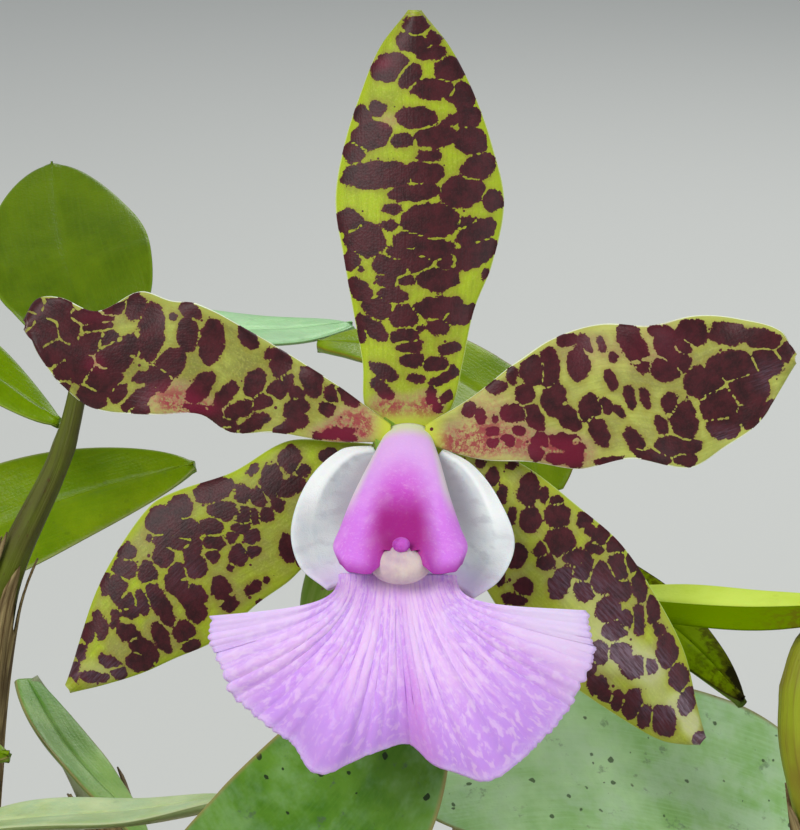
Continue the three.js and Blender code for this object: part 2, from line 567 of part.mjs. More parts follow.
// Aerial roots: over the bark, down into it or over the rim
const ROOT_RADIUS = 1.5;
const ROOTS = {
  front: [[-16, -16, 84], [-20, -27, 88], [-24, -38, 91], [-29, -49, 95], [-33, -56, 96], [-35, -60, 91],
    [-35, -60.5, 80], [-33, -58, 66], [-31, -55, 52]],
  front_right: [[6, -26, 84], [14, -33, 88], [24, -36, 87], [31, -38, 82], [36, -40, 77]],
  right: [[42, -8, 84.5], [50, -7, 93], [57, -5, 97], [62.5, -3, 95], [63.5, 0, 86], [62.5, 3, 76]],
  back: [[10, 13, 84], [8, 24, 88], [2, 35, 88], [-4, 43, 84], [-7, 46, 77]],
  left: [[-41, 12, 84.5], [-48, 8, 92], [-55, 3, 97], [-62, -2, 95.5], [-64, -5, 88], [-62.5, -8, 76],
    [-60, -10, 64], [-57, -10, 54]],
};
const inBark = [...rhizomeStems, ...Object.values(canes)];
const roots = [];
for (const [name, points] of Object.entries(ROOTS)) {
  const grown = stem(points, (u) => ROOT_RADIUS * (1 - 0.3 * u), 7, 3 * points.length);
  add(`root_${name}`, clearOf(grown, [pot, ...inBark]), 0xc9cfb4, 0.7);
  roots.push(grown);
}

// Bark: fills the pot to just below the rim, with chips lying half sunk on a seeded spiral
function barkGeometry() {
  const inside = RIM_RADIUS - RIM_STEP - WALL;
  const shoulder = POT_HEIGHT - RIM_HEIGHT;
  const clear = 0.6;
  const fill = turned([
    new THREE.Vector2(0, WALL + 1 + clear),
    new THREE.Vector2(FOOT_RADIUS - WALL + 0.6 - clear, WALL + 1 + clear),
    new THREE.Vector2(inside - clear - 0.4, shoulder - 2),
    new THREE.Vector2(inside + 1, BARK_TOP - 1.5),
    new THREE.Vector2(inside - 8, BARK_TOP),
    new THREE.Vector2(0, BARK_TOP),
  ], 24);
  let made = solid(fill);
  const golden = Math.PI * (3 - Math.sqrt(5));
  for (let i = 0; i < CHIP_COUNT; i++) {
    const chip = new THREE.BoxGeometry(1, 1, 1);
    const corners = mergeVertices(chip.deleteAttribute('normal').deleteAttribute('uv'));
    const place = corners.getAttribute('position');
    for (let k = 0; k < place.count; k++) {
      place.setXYZ(k, place.getX(k) + 0.3 * (draw() - 0.5), place.getY(k) + 0.3 * (draw() - 0.5),
        place.getZ(k) + 0.2 * (draw() - 0.5));
    }
    const size = CHIP_SIZE * mix(0.7, 1.25, draw());
    corners.scale(size * 1.25, size * mix(0.6, 0.9, draw()), size * 0.5);
    corners.rotateX(0.7 * (draw() - 0.5));
    corners.rotateY(0.7 * (draw() - 0.5));
    corners.rotateZ(2 * Math.PI * draw());
    const reach = (inside - CHIP_SIZE) * Math.sqrt((i + 0.5) / CHIP_COUNT);
    corners.translate(reach * Math.cos(i * golden), reach * Math.sin(i * golden), BARK_TOP + 0.8 * draw());
    made = made.add(solid(corners));
  }
  return geometryOf(made);
}
add('bark', clearOf(barkGeometry(), [...inBark, ...roots]), 0x6b4a33, 0.9);

export default root;
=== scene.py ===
"""A potted Cattleya aclandiae in flower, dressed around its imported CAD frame.

Sizes are millimetres in the plant's own frame and turned to metres when a mesh is made.
The outlines and routes are those of the CAD model, drawn finer here.
"""

import math

import bpy
import numpy as np
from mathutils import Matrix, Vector


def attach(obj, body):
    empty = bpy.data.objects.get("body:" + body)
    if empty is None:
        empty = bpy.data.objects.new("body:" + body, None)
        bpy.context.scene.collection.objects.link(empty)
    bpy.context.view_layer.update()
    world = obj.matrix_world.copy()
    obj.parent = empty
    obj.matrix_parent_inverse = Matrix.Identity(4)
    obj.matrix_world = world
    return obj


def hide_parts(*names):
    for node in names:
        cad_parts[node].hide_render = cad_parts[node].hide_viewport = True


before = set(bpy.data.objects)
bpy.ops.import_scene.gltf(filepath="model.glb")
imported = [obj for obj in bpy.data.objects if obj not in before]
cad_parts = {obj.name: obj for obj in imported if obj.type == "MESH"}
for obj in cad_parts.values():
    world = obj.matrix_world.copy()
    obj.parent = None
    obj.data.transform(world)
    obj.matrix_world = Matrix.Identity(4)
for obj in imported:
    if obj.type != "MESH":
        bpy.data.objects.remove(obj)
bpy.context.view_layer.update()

MM = 0.001

# Pot and bark, as in the CAD model
POT_HEIGHT = 92
RIM_RADIUS = 60
RIM_HEIGHT = 16
RIM_STEP = 3.5
FOOT_RADIUS = 41
WALL = 5
SHOULDER = POT_HEIGHT - RIM_HEIGHT
SHOULDER_RADIUS = RIM_RADIUS - RIM_STEP
INNER_RADIUS = SHOULDER_RADIUS - WALL
# The slope of the rim's underside, the drop from it to the bend inside, and how much thicker the floor is
RIM_SLOPE = 0.6
BEND_DROP = 2
FLOOR_EXTRA = 1
# Where a turned profile starts and ends, so close to the axis that no hole shows
NEAR_AXIS = 0.01
DRAIN_RADIUS = 5
DRAIN_CIRCLE = 24
DRAIN_COUNT = 5
DRAIN_SIDES = 40
POT_SIDES = 160
POT_ROUNDING = 1.3
POT_STEP = 4
BARK_TOP = 82
BARK_FLOOR = WALL + 1.6
# The medium's surface under its chips, the depth to which it is rough, and where the chips start
BARK_SURFACE = BARK_TOP - 1.5
ROUGH_FROM = BARK_TOP - 3
CHIPS_FROM = BARK_TOP - 0.3
BARK_RINGS = 30
BARK_SIDES = 120
BARK_SEED = 4
# Layers of chips: count, size, the height over which they lie, and the paint
CHIPS = ((34, 12, 0.3, 1), (150, 7.5, 0.6, 2), (420, 4, 1, 1), (500, 2.2, 1.3, 0))
# Millimetres by which the grain shifts from chip to chip, for each millimetre between them
CHIP_DRIFT = 20
CHIP_BEVEL = 0.5
CHIP_BEVEL_ANGLE = math.radians(40)

# Bloom: its centre, the tilt of its face, and how much nearer the viewer the lip stands
BLOOM_CENTRE = np.array([15, -30, 207])
BLOOM_TILT = math.radians(-18)
LIP_SCALE = 0.958

# Camera: the photograph is 800 pixels wide, 771 of them the 90 mm across the petals
PHOTO_WIDTH = 800
PETAL_SPAN = 90
PETAL_SPAN_PIXELS = 771
MM_PER_PIXEL = PETAL_SPAN / PETAL_SPAN_PIXELS
CAMERA_DISTANCE = 380
CAMERA_ASIDE = -8 * MM_PER_PIXEL
CAMERA_ABOVE = 22 * MM_PER_PIXEL
SENSOR = 36
CLIP_START = 0.01


# Curves and solids

def mix(a, b, t):
    return a + (b - a) * t


def step(a, b, t):
    """From 0 at a to 1 at b, with soft ends."""
    s = np.clip((t - a) / (b - a), 0, 1)
    return s * s * (3 - 2 * s)


def smooth_curve(points):
    """A smooth curve through points, read at a share of its length."""
    p = np.array(points, float)
    last = len(p) - 1
    reach = np.concatenate([[0], np.cumsum(np.linalg.norm(np.diff(p, axis=0), axis=1))])
    low = np.maximum(np.arange(last + 1) - 1, 0)
    high = np.minimum(np.arange(last + 1) + 1, last)
    slope = (p[high] - p[low]) / (reach[high] - reach[low])[:, None]

    def at(share):
        s = np.clip(np.asarray(share, float), 0, 1) * reach[-1]
        i = np.clip(np.searchsorted(reach, s, side="right") - 1, 0, last - 1)
        h = (reach[i + 1] - reach[i])[..., None]
        t = (s[..., None] - reach[i][..., None]) / h
        rest = 1 - t
        return ((1 + 2 * t) * rest * rest * p[i] + t * rest * rest * h * slope[i]
                + t * t * (3 - 2 * t) * p[i + 1] + t * t * (t - 1) * h * slope[i + 1])

    at.length = float(reach[-1])
    return at


def unit(a):
    return a / np.maximum(np.linalg.norm(a, axis=-1, keepdims=True), 1e-9)


def heading(curve, u, nudge=0.01):
    """The curve's direction at shares u of its length."""
    return unit(curve(np.minimum(1, u + nudge)) - curve(np.maximum(0, u - nudge)))


def across_stem(along):
    """Two directions square to a stem's own and to each other."""
    side = unit(np.cross(np.array([0.31, 0.9, 0.17]), along))
    return side, np.cross(along, side)


def angles(sides):
    return 2 * math.pi * np.arange(sides) / sides


def into_plant(points):
    """Points of the bloom's own frame, moved into the plant's frame."""
    c, s = math.cos(BLOOM_TILT), math.sin(BLOOM_TILT)
    turned = np.stack([points[:, 0], c * points[:, 1] - s * points[:, 2],
                       s * points[:, 1] + c * points[:, 2]], axis=1)
    return turned + BLOOM_CENTRE


class Shape:
    """Points in mm, faces and per-point marks, gathered from several parts into one mesh."""

    def __init__(self):
        self.points = []
        self.faces = []
        self.marks = []
        self.slots = []
        self.count = 0

    def add(self, points, faces, marks, slot=0):
        """Takes in a part: slot is the number of its paint."""
        points = np.asarray(points, float).reshape(-1, 3)
        self.points.append(points)
        self.marks.append(np.asarray(marks, float).reshape(len(points), -1))
        self.faces += [tuple(i + self.count for i in f) for f in faces]
        self.slots += [slot] * len(faces)
        self.count += len(points)

    def build(self, name, node, materials, in_bloom=False):
        """Makes one piece in place of a CAD node; in_bloom says that the points are in the bloom's frame."""
        points = np.concatenate(self.points)
        if in_bloom:
            points = into_plant(points)
        mesh = bpy.data.meshes.new(name)
        mesh.from_pydata((points * MM).tolist(), [], self.faces)
        mesh.polygons.foreach_set("use_smooth", [True] * len(mesh.polygons))
        mesh.polygons.foreach_set("material_index", self.slots)
        marks = np.concatenate(self.marks)
        for k, label in enumerate(("mm", "share", "spots")[:marks.shape[1] // 3]):
            layer = mesh.attributes.new(label, "FLOAT_VECTOR", "POINT")
            layer.data.foreach_set("vector", marks[:, 3 * k:3 * k + 3].ravel())
        for material in materials:
            mesh.materials.append(material)
        mesh.update()
        piece = bpy.data.objects.new(name, mesh)
        bpy.context.scene.collection.objects.link(piece)
        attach(piece, "root")
        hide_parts(node)
        return piece


def grid_faces(rows, columns, base, flip=False):
    """Quads between the points of a grid that starts at number base."""
    i, j = np.meshgrid(np.arange(rows), np.arange(columns), indexing="ij")
    a = base + i * (columns + 1) + j
    quads = np.stack([a, a + 1, a + columns + 2, a + columns + 1], axis=-1).reshape(-1, 4)
    if flip:
        quads = quads[:, ::-1]
    return [tuple(q) for q in quads.tolist()]


def ring_faces(count, sides, closed=False):
    """Quads between neighbouring rings of points; closed joins the last ring to the first."""
    faces = []
    for i in range(count if closed else count - 1):
        here, there = i * sides, (i + 1) % count * sides
        for j in range(sides):
            n = (j + 1) % sides
            faces.append((here + j, here + n, there + n, there + j))
    return faces


def even(thickness):
    """The same thickness all over a blade."""
    return lambda u, v: np.full_like(u, thickness)


def round_marks(run, share, sides):
    """Marks for rings round a stem: mm = along; share = share along, cosine and sine of the turn."""
    turn = angles(sides)
    marks = np.zeros((len(run), sides, 6))
    marks[..., 0] = run[:, None]
    marks[..., 3] = share[:, None]
    marks[..., 4] = np.cos(turn)[None, :]
    marks[..., 5] = np.sin(turn)[None, :]
    return marks


def blade(shape, middle, thickness, rows, columns, hand=0, slot=0, extra=None):
    """A closed blade round its middle surface. Marks: mm = along, across, hand; share = u, v, face.

    hand is 1 or -1 for the lip's two side lobes. extra(points) may give three marks more for each point of
    the middle surface.
    """
    u = np.linspace(0, 1, rows + 1)[:, None] * np.ones(columns + 1)
    v = np.sin(np.linspace(-1, 1, columns + 1) * math.pi / 2)[None, :] * np.ones((rows + 1, 1))
    centre = middle(u, v)
    along = np.gradient(centre, axis=0)
    across = np.gradient(centre, axis=1)
    normal = unit(np.cross(across, along))
    edge = np.sqrt(np.clip(1 - np.abs(v) ** 10, 0.05, 1))
    half = (thickness(u, v) / 2 * edge)[..., None]
    run = np.concatenate([np.zeros((1, columns + 1)),
                          np.cumsum(np.linalg.norm(np.diff(centre, axis=0), axis=2), axis=0)])
    wide = np.concatenate([np.zeros((rows + 1, 1)),
                           np.cumsum(np.linalg.norm(np.diff(centre, axis=1), axis=2), axis=1)], axis=1)
    mid = columns // 2
    run = np.repeat(run[:, mid:mid + 1], columns + 1, axis=1)
    wide = wide - wide[:, mid:mid + 1]
    count = (rows + 1) * (columns + 1)
    sides = []
    for face, sign in ((1, 1), (-1, -1)):
        marks = np.stack([run, wide, np.full_like(run, hand), u, v, np.full_like(run, face)], axis=-1)
        if extra:
            marks = np.concatenate([marks, extra(centre)], axis=-1)
        sides.append(((centre + sign * half * normal).reshape(-1, 3), marks.reshape(count, -1)))
    faces = grid_faces(rows, columns, 0) + grid_faces(rows, columns, count, flip=True)
    ring = ([j for j in range(columns)]
            + [i * (columns + 1) + columns for i in range(rows)]
            + [rows * (columns + 1) + j for j in range(columns, 0, -1)]
            + [i * (columns + 1) for i in range(rows, 0, -1)])
    for k, a in enumerate(ring):
        b = ring[(k + 1) % len(ring)]
        faces.append((a, count + a, count + b, b))
    shape.add(np.concatenate([s[0] for s in sides]), faces, np.concatenate([s[1] for s in sides]), slot)


def loft(shape, rings, slot=0, last_middle=None):
    """A closed loft through rings of points (rings, sides, 3), with round marks."""
    rings = np.asarray(rings, float)
    count, sides = rings.shape[:2]
    middles = rings.mean(axis=1)
    if last_middle is not None:
        middles[-1] = last_middle
    run = np.concatenate([[0], np.cumsum(np.linalg.norm(np.diff(middles, axis=0), axis=1))])
    marks = round_marks(run, np.linspace(0, 1, count), sides)
    faces = ring_faces(count, sides)
    first = count * sides
    for j in range(sides):
        n = (j + 1) % sides
        faces.append((first, n, j))
        faces.append((first + 1, (count - 1) * sides + j, (count - 1) * sides + n))
    ends = np.zeros((2, 6))
    ends[:, 0] = [0, run[-1]]
    ends[:, 3] = [0, 1]
    shape.add(np.concatenate([rings.reshape(-1, 3), middles[:1], middles[-1:]]), faces,
              np.concatenate([marks.reshape(-1, 6), ends]), slot)


def stem_rings(points, radius, sides, rings, relief):
    """Rings of a round stem along points; relief(u, turn) scales the radius."""
    curve = smooth_curve(points)
    u = np.linspace(0, 1, rings + 1)
    centre = curve(u)
    side, other = across_stem(heading(curve, u))
    turn = angles(sides)
    r = radius(u)[:, None] * relief(u[:, None], turn[None, :])
    return (centre[:, None, :] + r[..., None] * (np.cos(turn)[None, :, None] * side[:, None, :]
            + np.sin(turn)[None, :, None] * other[:, None, :]))


# Materials

def srgb(r, g, b):
    """A colour of an image, 0 to 255, as the linear colour of a shader."""
    def linear(c):
        c = c / 255
        return c / 12.92 if c <= 0.04045 else ((c + 0.055) / 1.055) ** 2.4
    return (linear(r), linear(g), linear(b), 1)


class Paint:
    """One node material: short words for the nodes that the finishes below share."""

    def __init__(self, name):
        self.material = bpy.data.materials.new(name)
        self.material.use_nodes = True
        self.tree = self.material.node_tree
        self.shader = self.tree.nodes["Principled BSDF"]
        self.color = None

    def put(self, socket, value):
        if isinstance(value, bpy.types.NodeSocket):
            self.tree.links.new(value, socket)
        else:
            socket.default_value = value

    def node(self, kind, out=0, inputs=None, **settings):
        n = self.tree.nodes.new(kind)
        for key, value in settings.items():
            setattr(n, key, value)
        for key, value in (inputs or {}).items():
            self.put(n.inputs[key], value)
        return n.outputs[out]

    def split(self, vector):
        n = self.tree.nodes.new("ShaderNodeSeparateXYZ")
        self.put(n.inputs[0], vector)
        return n.outputs[0], n.outputs[1], n.outputs[2]

    def mark(self, name):
        """The three marks that blade, loft and the others leave on each point under this name."""
        return self.split(self.node("ShaderNodeAttribute", "Vector", attribute_name=name))

    def round_place(self, radius, seed=0):
        """The share along a stem, and a place that goes round it without a seam."""
        along, _, _ = self.mark("mm")
        u, c, s = self.mark("share")
        return u, self.vector(self.times(c, radius), self.times(s, radius), self.plus(along, seed))

    def place(self):
        return self.node("ShaderNodeTexCoord", "Object")

    def math(self, op, a, b=0, c=0):
        return self.node("ShaderNodeMath", 0, {0: a, 1: b, 2: c}, operation=op)

    def times(self, a, b):
        return self.math("MULTIPLY", a, b)

    def plus(self, a, b):
        return self.math("ADD", a, b)

    def minus(self, a, b):
        return self.math("SUBTRACT", a, b)

    def size(self, a):
        return self.math("ABSOLUTE", a)

    def range(self, value, low, high, to_low=0, to_high=1, smooth=True):
        ends = {"Value": value, "From Min": low, "From Max": high, "To Min": to_low, "To Max": to_high}
        return self.node("ShaderNodeMapRange", "Result", ends, clamp=True,
                         interpolation_type="SMOOTHSTEP" if smooth else "LINEAR")

    def vector(self, x=0, y=0, z=0):
        return self.node("ShaderNodeCombineXYZ", 0, {0: x, 1: y, 2: z})

    def scaled(self, vector, x, y, z):
        return self.node("ShaderNodeMapping", 0, {"Vector": vector, "Scale": (x, y, z)})

    def noise(self, vector, scale, detail=3, rough=0.5, out="Fac"):
        return self.node("ShaderNodeTexNoise", out,
                         {"Vector": vector, "Scale": scale, "Detail": detail, "Roughness": rough})

    def cells(self, vector, scale, out="Distance"):
        return self.node("ShaderNodeTexVoronoi", out, {"Vector": vector, "Scale": scale})

    def luck(self, vector, scale):
        """One chance number for each of the cells."""
        return self.node("ShaderNodeSeparateColor", 0, {0: self.cells(vector, scale, "Color")})

    def blend(self, share, a, b):
        """A mix of two colours, each of them a socket or a triple as in an image."""
        a, b = (srgb(*c) if isinstance(c, tuple) else c for c in (a, b))
        return self.node("ShaderNodeMix", 2, {0: share, 6: a, 7: b}, data_type="RGBA")

    def coat(self, share, color):
        """Lays one more colour over those of the paint so far."""
        self.color = self.blend(share, self.color, color)

    def tint(self, value, low, high, color, most=1):
        """A coat that comes in softly as the value goes from low to high."""
        self.coat(self.range(value, low, high, 0, most), color)

    def vector_math(self, op, a, b):
        return self.node("ShaderNodeVectorMath", 0, {0: a, 1: b}, operation=op)

    def shift(self, vector, by, amount):
        """A vector moved by a colour that drifts about its middle grey."""
        centred = self.vector_math("SUBTRACT", by, (0.5, 0.5, 0.5))
        moved = self.vector_math("MULTIPLY", centred, (amount, amount, amount))
        return self.vector_math("ADD", vector, moved)

    def finish(self, roughness, height=None, depth_mm=0.1, strength=0.6, gloss=0.2, **sockets):
        """Joins colour, roughness and relief to the shader; sockets are values that are the same all over."""
        self.shader.inputs["Specular IOR Level"].default_value = gloss
        self.put(self.shader.inputs["Base Color"], self.color)
        self.put(self.shader.inputs["Roughness"], roughness)
        if height is not None:
            bump = self.node("ShaderNodeBump", 0, {"Strength": strength, "Distance": depth_mm * MM,
                                                   "Height": height})
            self.put(self.shader.inputs["Normal"], bump)
        for key, value in sockets.items():
            self.shader.inputs[key.replace("_", " ")].default_value = value
        return self.material


def tepal_paint(name, bright, olive, rim, seed):
    """Yellow-green flesh with crisp maroon blotches, which the spots marks place, a painted highlight along
    the edge, and painted sheen and glints where the zones are below 0.
    """
    p = Paint(name)
    along, across, _ = p.mark("mm")
    u, v, face = p.mark("share")
    reach, seam, tone = p.mark("spots")
    side = p.size(v)
    place = p.vector(along, across, seed)
    lumps = p.noise(place, 0.9, 2, 0.5)
    grain = p.noise(place, 4.5, 2, 0.6)
    reach = p.plus(reach, p.range(lumps, 0.25, 0.75, -0.06, 0.46, smooth=False))
    reach = p.plus(reach, p.range(grain, 0.2, 0.8, -0.15, 0.15, smooth=False))
    crack = p.range(p.noise(place, 0.35, 2), 0.43, 0.5, -0.4, 0.24)
    seam = p.plus(seam, p.range(p.noise(place, 1.7, 2), 0.3, 0.7, -0.14, 0.2, smooth=False))
    big = p.times(p.range(reach, -0.03, 0.05), p.range(p.minus(seam, crack), -0.03, 0.04))
    speck = p.cells(place, 1.3)
    speck_reach = p.range(p.luck(place, 1.3), 0.8, 1, -0.1, 0.3, smooth=False)
    small = p.times(p.range(p.minus(speck_reach, speck), -0.03, 0.03), p.range(side, 0.93, 0.85))
    blotch = p.math("MAXIMUM", big, small)
    shown = p.times(blotch, p.range(face, -0.5, 0.5, 0.2, 1))

    streaks = p.noise(p.scaled(place, 0.2, 3, 1), 1, 4, 0.6)
    clouds = p.noise(place, 0.22, 3)
    p.color = p.blend(p.range(clouds, 0.35, 0.65), bright, olive)
    p.tint(streaks, 0.35, 0.7, (118, 128, 24), 0.35)
    p.tint(grain, 0.45, 0.75, (206, 212, 96), 0.3)
    p.tint(reach, -0.7, 0, (138, 124, 40), 0.45)
    p.tint(side, 0.8, 0.97, bright, 0.8)
    # Painted highlight: a thin line of the rim colour along the very edge, where the blade's thickness
    # catches the light
    p.tint(side, 0.975, 0.995, rim)
    p.tint(tone, 0.1, 0.5, (184, 150, 128), 0.35)
    blush = p.times(p.range(tone, 0.1, 0.9), p.range(p.noise(place, 2, 4, 0.75), 0.42, 0.62))
    p.coat(p.times(blush, 0.75), (176, 78, 88))
    flush = p.times(p.range(tone, 0.45, 0.9), p.range(p.noise(place, 1.1, 4, 0.8), 0.46, 0.54))
    p.coat(p.times(flush, 0.8), (148, 38, 60))
    # Painted highlight: the flesh goes pale where the zones are below 0, under the painted sheen
    p.tint(tone, -0.5, -1, (208, 216, 144), 0.5)
    p.tint(u, 0.05, 0, (196, 206, 60))
    p.tint(face, 0.5, -0.5, (150, 164, 66), 0.85)
    yellow = p.color
    p.color = p.blend(p.range(p.noise(place, 0.6, 4, 0.7), 0.3, 0.7), (46, 18, 20), (76, 26, 32))
    p.tint(tone, 0.05, 0.9, (120, 20, 50), 0.75)
    # Painted sheen: a grey reflection in streaks over the blotches where the zones are below 0
    sheen_streaks = p.noise(p.scaled(place, 0.5, 4, 1), 1, 4, 0.7)
    sheen = p.times(p.range(tone, -0.15, -0.8, 0, 0.5), p.range(sheen_streaks, 0.4, 0.66, 0.15, 1))
    p.coat(sheen, (116, 96, 112))
    p.tint(grain, 0.5, 0.8, (104, 52, 52), 0.2)
    p.tint(reach, 0.25, 0, (98, 30, 40), 0.45)
    p.color = p.blend(shown, yellow, p.color)
    # Painted glint: a pale reflection in the same streaks where the zones are lowest
    glint = p.times(p.range(tone, -0.85, -1.4, 0, 0.8), p.range(sheen_streaks, 0.35, 0.6, 0.3, 1))
    p.coat(glint, (214, 198, 214))
    fray = p.noise(p.scaled(place, 3, 0.7, 1), 1, 4, 0.7)
    worn = p.times(p.range(u, 0.93, 1), p.range(fray, 0.5, 0.62, 0, 0.6))
    p.coat(worn, (204, 188, 176))
    pebbles = p.cells(place, 3.4)
    height = p.plus(p.times(streaks, 0.6), p.times(pebbles, 0.3))
    height = p.plus(height, p.times(blotch, 0.35))
    return p.finish(p.range(shown, 0, 1, 0.52, 0.42), height, 0.14, 0.5, Subsurface_Weight=0.06,
                    Subsurface_Scale=0.001, Coat_Weight=0.06, Coat_Roughness=0.4)


def midlobe_paint():
    """Lilac with veins that spread from the neck, pale between, a magenta middle streak and a pale rim, with
    a painted highlight right of the middle in the upper half and painted shade on the left towards the lower
    edge.
    """
    p = Paint("lip_midlobe")
    u, v, face = p.mark("share")
    side = p.size(v)
    wobble = p.noise(p.vector(u, v, 3), 5, 2)
    fan = p.vector(p.times(u, 1.6), p.math("MULTIPLY_ADD", wobble, 0.05, v), 0)
    veins = p.noise(p.scaled(fan, 1, 20, 1), 1, 3.5, 0.6)
    fine = p.noise(p.scaled(fan, 9, 52, 1), 1, 2.5, 0.65)
    short = p.vector(u, p.math("MULTIPLY_ADD", wobble, 0.1, v), 8)
    dashes = p.noise(p.scaled(short, 17, 40, 1), 1, 2, 0.6)
    grain = p.noise(p.place(), 2600, 3, 0.7)
    clouds = p.noise(p.vector(p.times(u, 2.6), p.times(v, 5), 5), 1, 3)
    p.color = p.blend(p.range(clouds, 0.38, 0.62), (218, 148, 242), (250, 206, 248))
    p.tint(veins, 0.46, 0.58, (194, 108, 236), 0.85)
    p.tint(fine, 0.5, 0.66, (255, 226, 250), 0.5)
    p.tint(dashes, 0.47, 0.66, (255, 234, 253), 0.65)
    p.tint(grain, 0.5, 0.72, (255, 238, 255), 0.4)
    # Painted highlight: pale pink-white right of the middle in the upper half, strongest between the veins
    painted_highlight = p.times(p.range(p.size(p.minus(v, 0.28)), 0.5, 0.1), p.range(u, 0.7, 0.2, 0, 0.85))
    p.coat(p.times(painted_highlight, p.range(veins, 0.6, 0.42, 0.3, 1)), (255, 226, 250))
    # Painted shade: deeper lilac on the left, growing towards the lower edge
    painted_shade = p.times(p.range(p.size(p.plus(v, 0.32)), 0.4, 0.05), p.range(u, 0.3, 0.8, 0, 0.5))
    p.coat(painted_shade, (204, 128, 242))
    violet = p.times(p.range(u, 0.5, 0.9, 0, 0.95), p.range(side, 0.85, 0.5))
    violet = p.times(violet, p.range(dashes, 0.62, 0.48, 0.35, 1))
    p.coat(violet, (188, 106, 240))
    # A darker mauve band low on the left side
    low_left_mauve = p.times(p.range(p.size(p.plus(v, 0.42)), 0.16, 0.02), p.range(u, 0.7, 0.95, 0, 0.5))
    p.coat(low_left_mauve, (160, 104, 196))
    corner = p.times(p.range(side, 0.7, 1), p.range(u, 0.25, 0.9))
    p.coat(p.times(corner, 0.8), (234, 220, 248))
    tip = p.times(p.range(v, 0.72, 0.98), p.range(u, 0.4, 0.95, 0, 0.8))
    p.coat(tip, (250, 246, 252))
    rim = p.times(p.range(u, 0.93, 1), p.range(grain, 0.3, 0.6, 0.2, 0.8))
    p.coat(rim, (226, 206, 250))
    streak = p.times(p.range(p.size(p.minus(v, 0.05)), 0.13, 0.02), p.range(u, 0.1, 0.8, 0.3, 0.95))
    p.coat(p.times(streak, p.range(grain, 0.3, 0.7, 1, 0.6)), (204, 78, 220))
    throat = p.times(p.range(u, 0.12, 0), p.range(side, 0.45, 0.1))
    p.coat(throat, (244, 236, 206))
    p.tint(face, 0.5, -0.5, (220, 184, 240), 0.5)
    height = p.plus(p.times(veins, 0.9), p.times(grain, 0.35))
    return p.finish(0.6, height, 0.16, 0.4, 0.12, Subsurface_Weight=0.15, Subsurface_Scale=0.0012)


def side_lobe_paint():
    """White with a turned-back rim under a painted highlight, painted grey-mauve shade in its depth, with
    fine lines from the base.
    """
    p = Paint("lip_side_lobe")
    u, v, _ = p.mark("share")
    _, _, hand = p.mark("mm")
    outward = p.math("MULTIPLY_ADD", p.times(v, hand), 0.5, 0.5)
    place = p.place()
    lines = p.noise(p.scaled(p.vector(u, v, 1), 16, 1.6, 1), 1, 3)
    p.color = p.blend(p.range(p.noise(place, 260, 3), 0.3, 0.7), (210, 218, 220), (228, 234, 232))
    p.tint(lines, 0.48, 0.7, (184, 186, 192), 0.5)
    # Painted shade: grey-mauve deep inside the lobe, near the column and away from the turned-back rim
    deep = p.times(p.range(outward, 0.8, 0.25), p.range(u, 0.95, 0.45))
    p.coat(p.times(deep, 0.75), (158, 146, 160))
    # Painted highlight: near white on the turned-back rim at the top of the lobe
    flap_highlight = p.times(p.range(outward, 0.7, 0.76), p.range(u, 0.62, 0.4, 0.25, 1))
    p.coat(p.times(flap_highlight, 0.9), (250, 252, 250))
    p.tint(u, 0.75, 1, (216, 184, 238), 0.6)
    grain = p.cells(place, 5200)
    return p.finish(0.5, grain, 0.08, 0.4, Subsurface_Weight=0.2, Subsurface_Scale=0.0012)


def column_paint():
    """Pale pink at the top and rims, magenta along the middle, deepest just above the cap with painted shade
    in the hollow there, and painted shade along the wings' curled lower edges.
    """
    p = Paint("column")
    u, x, rise = p.mark("share")
    place = p.place()
    wide = p.size(x)
    soft = p.noise(place, 420, 3)
    grain = p.noise(place, 2600, 3, 0.7)
    p.color = p.blend(p.range(u, 0.1, 0.8), (238, 188, 252), (220, 128, 236))
    p.coat(p.times(p.range(wide, 0.72, 0.1), p.range(u, 0.22, 0.62, 0, 0.85)), (214, 80, 212))
    p.tint(soft, 0.45, 0.75, (242, 186, 250), 0.3)
    p.tint(grain, 0.5, 0.75, (250, 206, 252), 0.3)
    # The column's deep magenta with painted shade in the hollow just above the cap
    hollow = p.times(p.range(wide, 0.66, 0.22), p.range(u, 0.48, 0.78, 0, 0.9))
    p.coat(hollow, (158, 20, 118))
    flank = p.times(p.range(wide, 0.74, 0.95), p.range(u, 0.75, 0.45, 0, 0.9))
    p.coat(flank, (232, 222, 226))
    # Painted shade in dark magenta under the curled lower edges of the wings
    hem_shade = p.times(p.range(u, 0.9, 1, 0, 0.85), p.range(wide, 0.3, 0.5))
    p.coat(hem_shade, (160, 40, 156))
    p.tint(u, 0.16, 0.02, (222, 226, 182))
    p.tint(rise, 0.1, -0.3, (236, 210, 236), 0.6)
    return p.finish(0.55, grain, 0.08, 0.45, 0.15, Subsurface_Weight=0.15, Subsurface_Scale=0.0012)


def soft_paint(name, pale, deep, scale):
    """A soft fleshy surface that drifts between two colours."""
    p = Paint(name)
    place = p.place()
    p.color = p.blend(p.range(p.noise(place, scale, 4, 0.6), 0.3, 0.7), pale, deep)
    return p.finish(0.45, p.cells(place, 4500), 0.08, 0.45, Subsurface_Weight=0.2, Subsurface_Scale=0.0015)


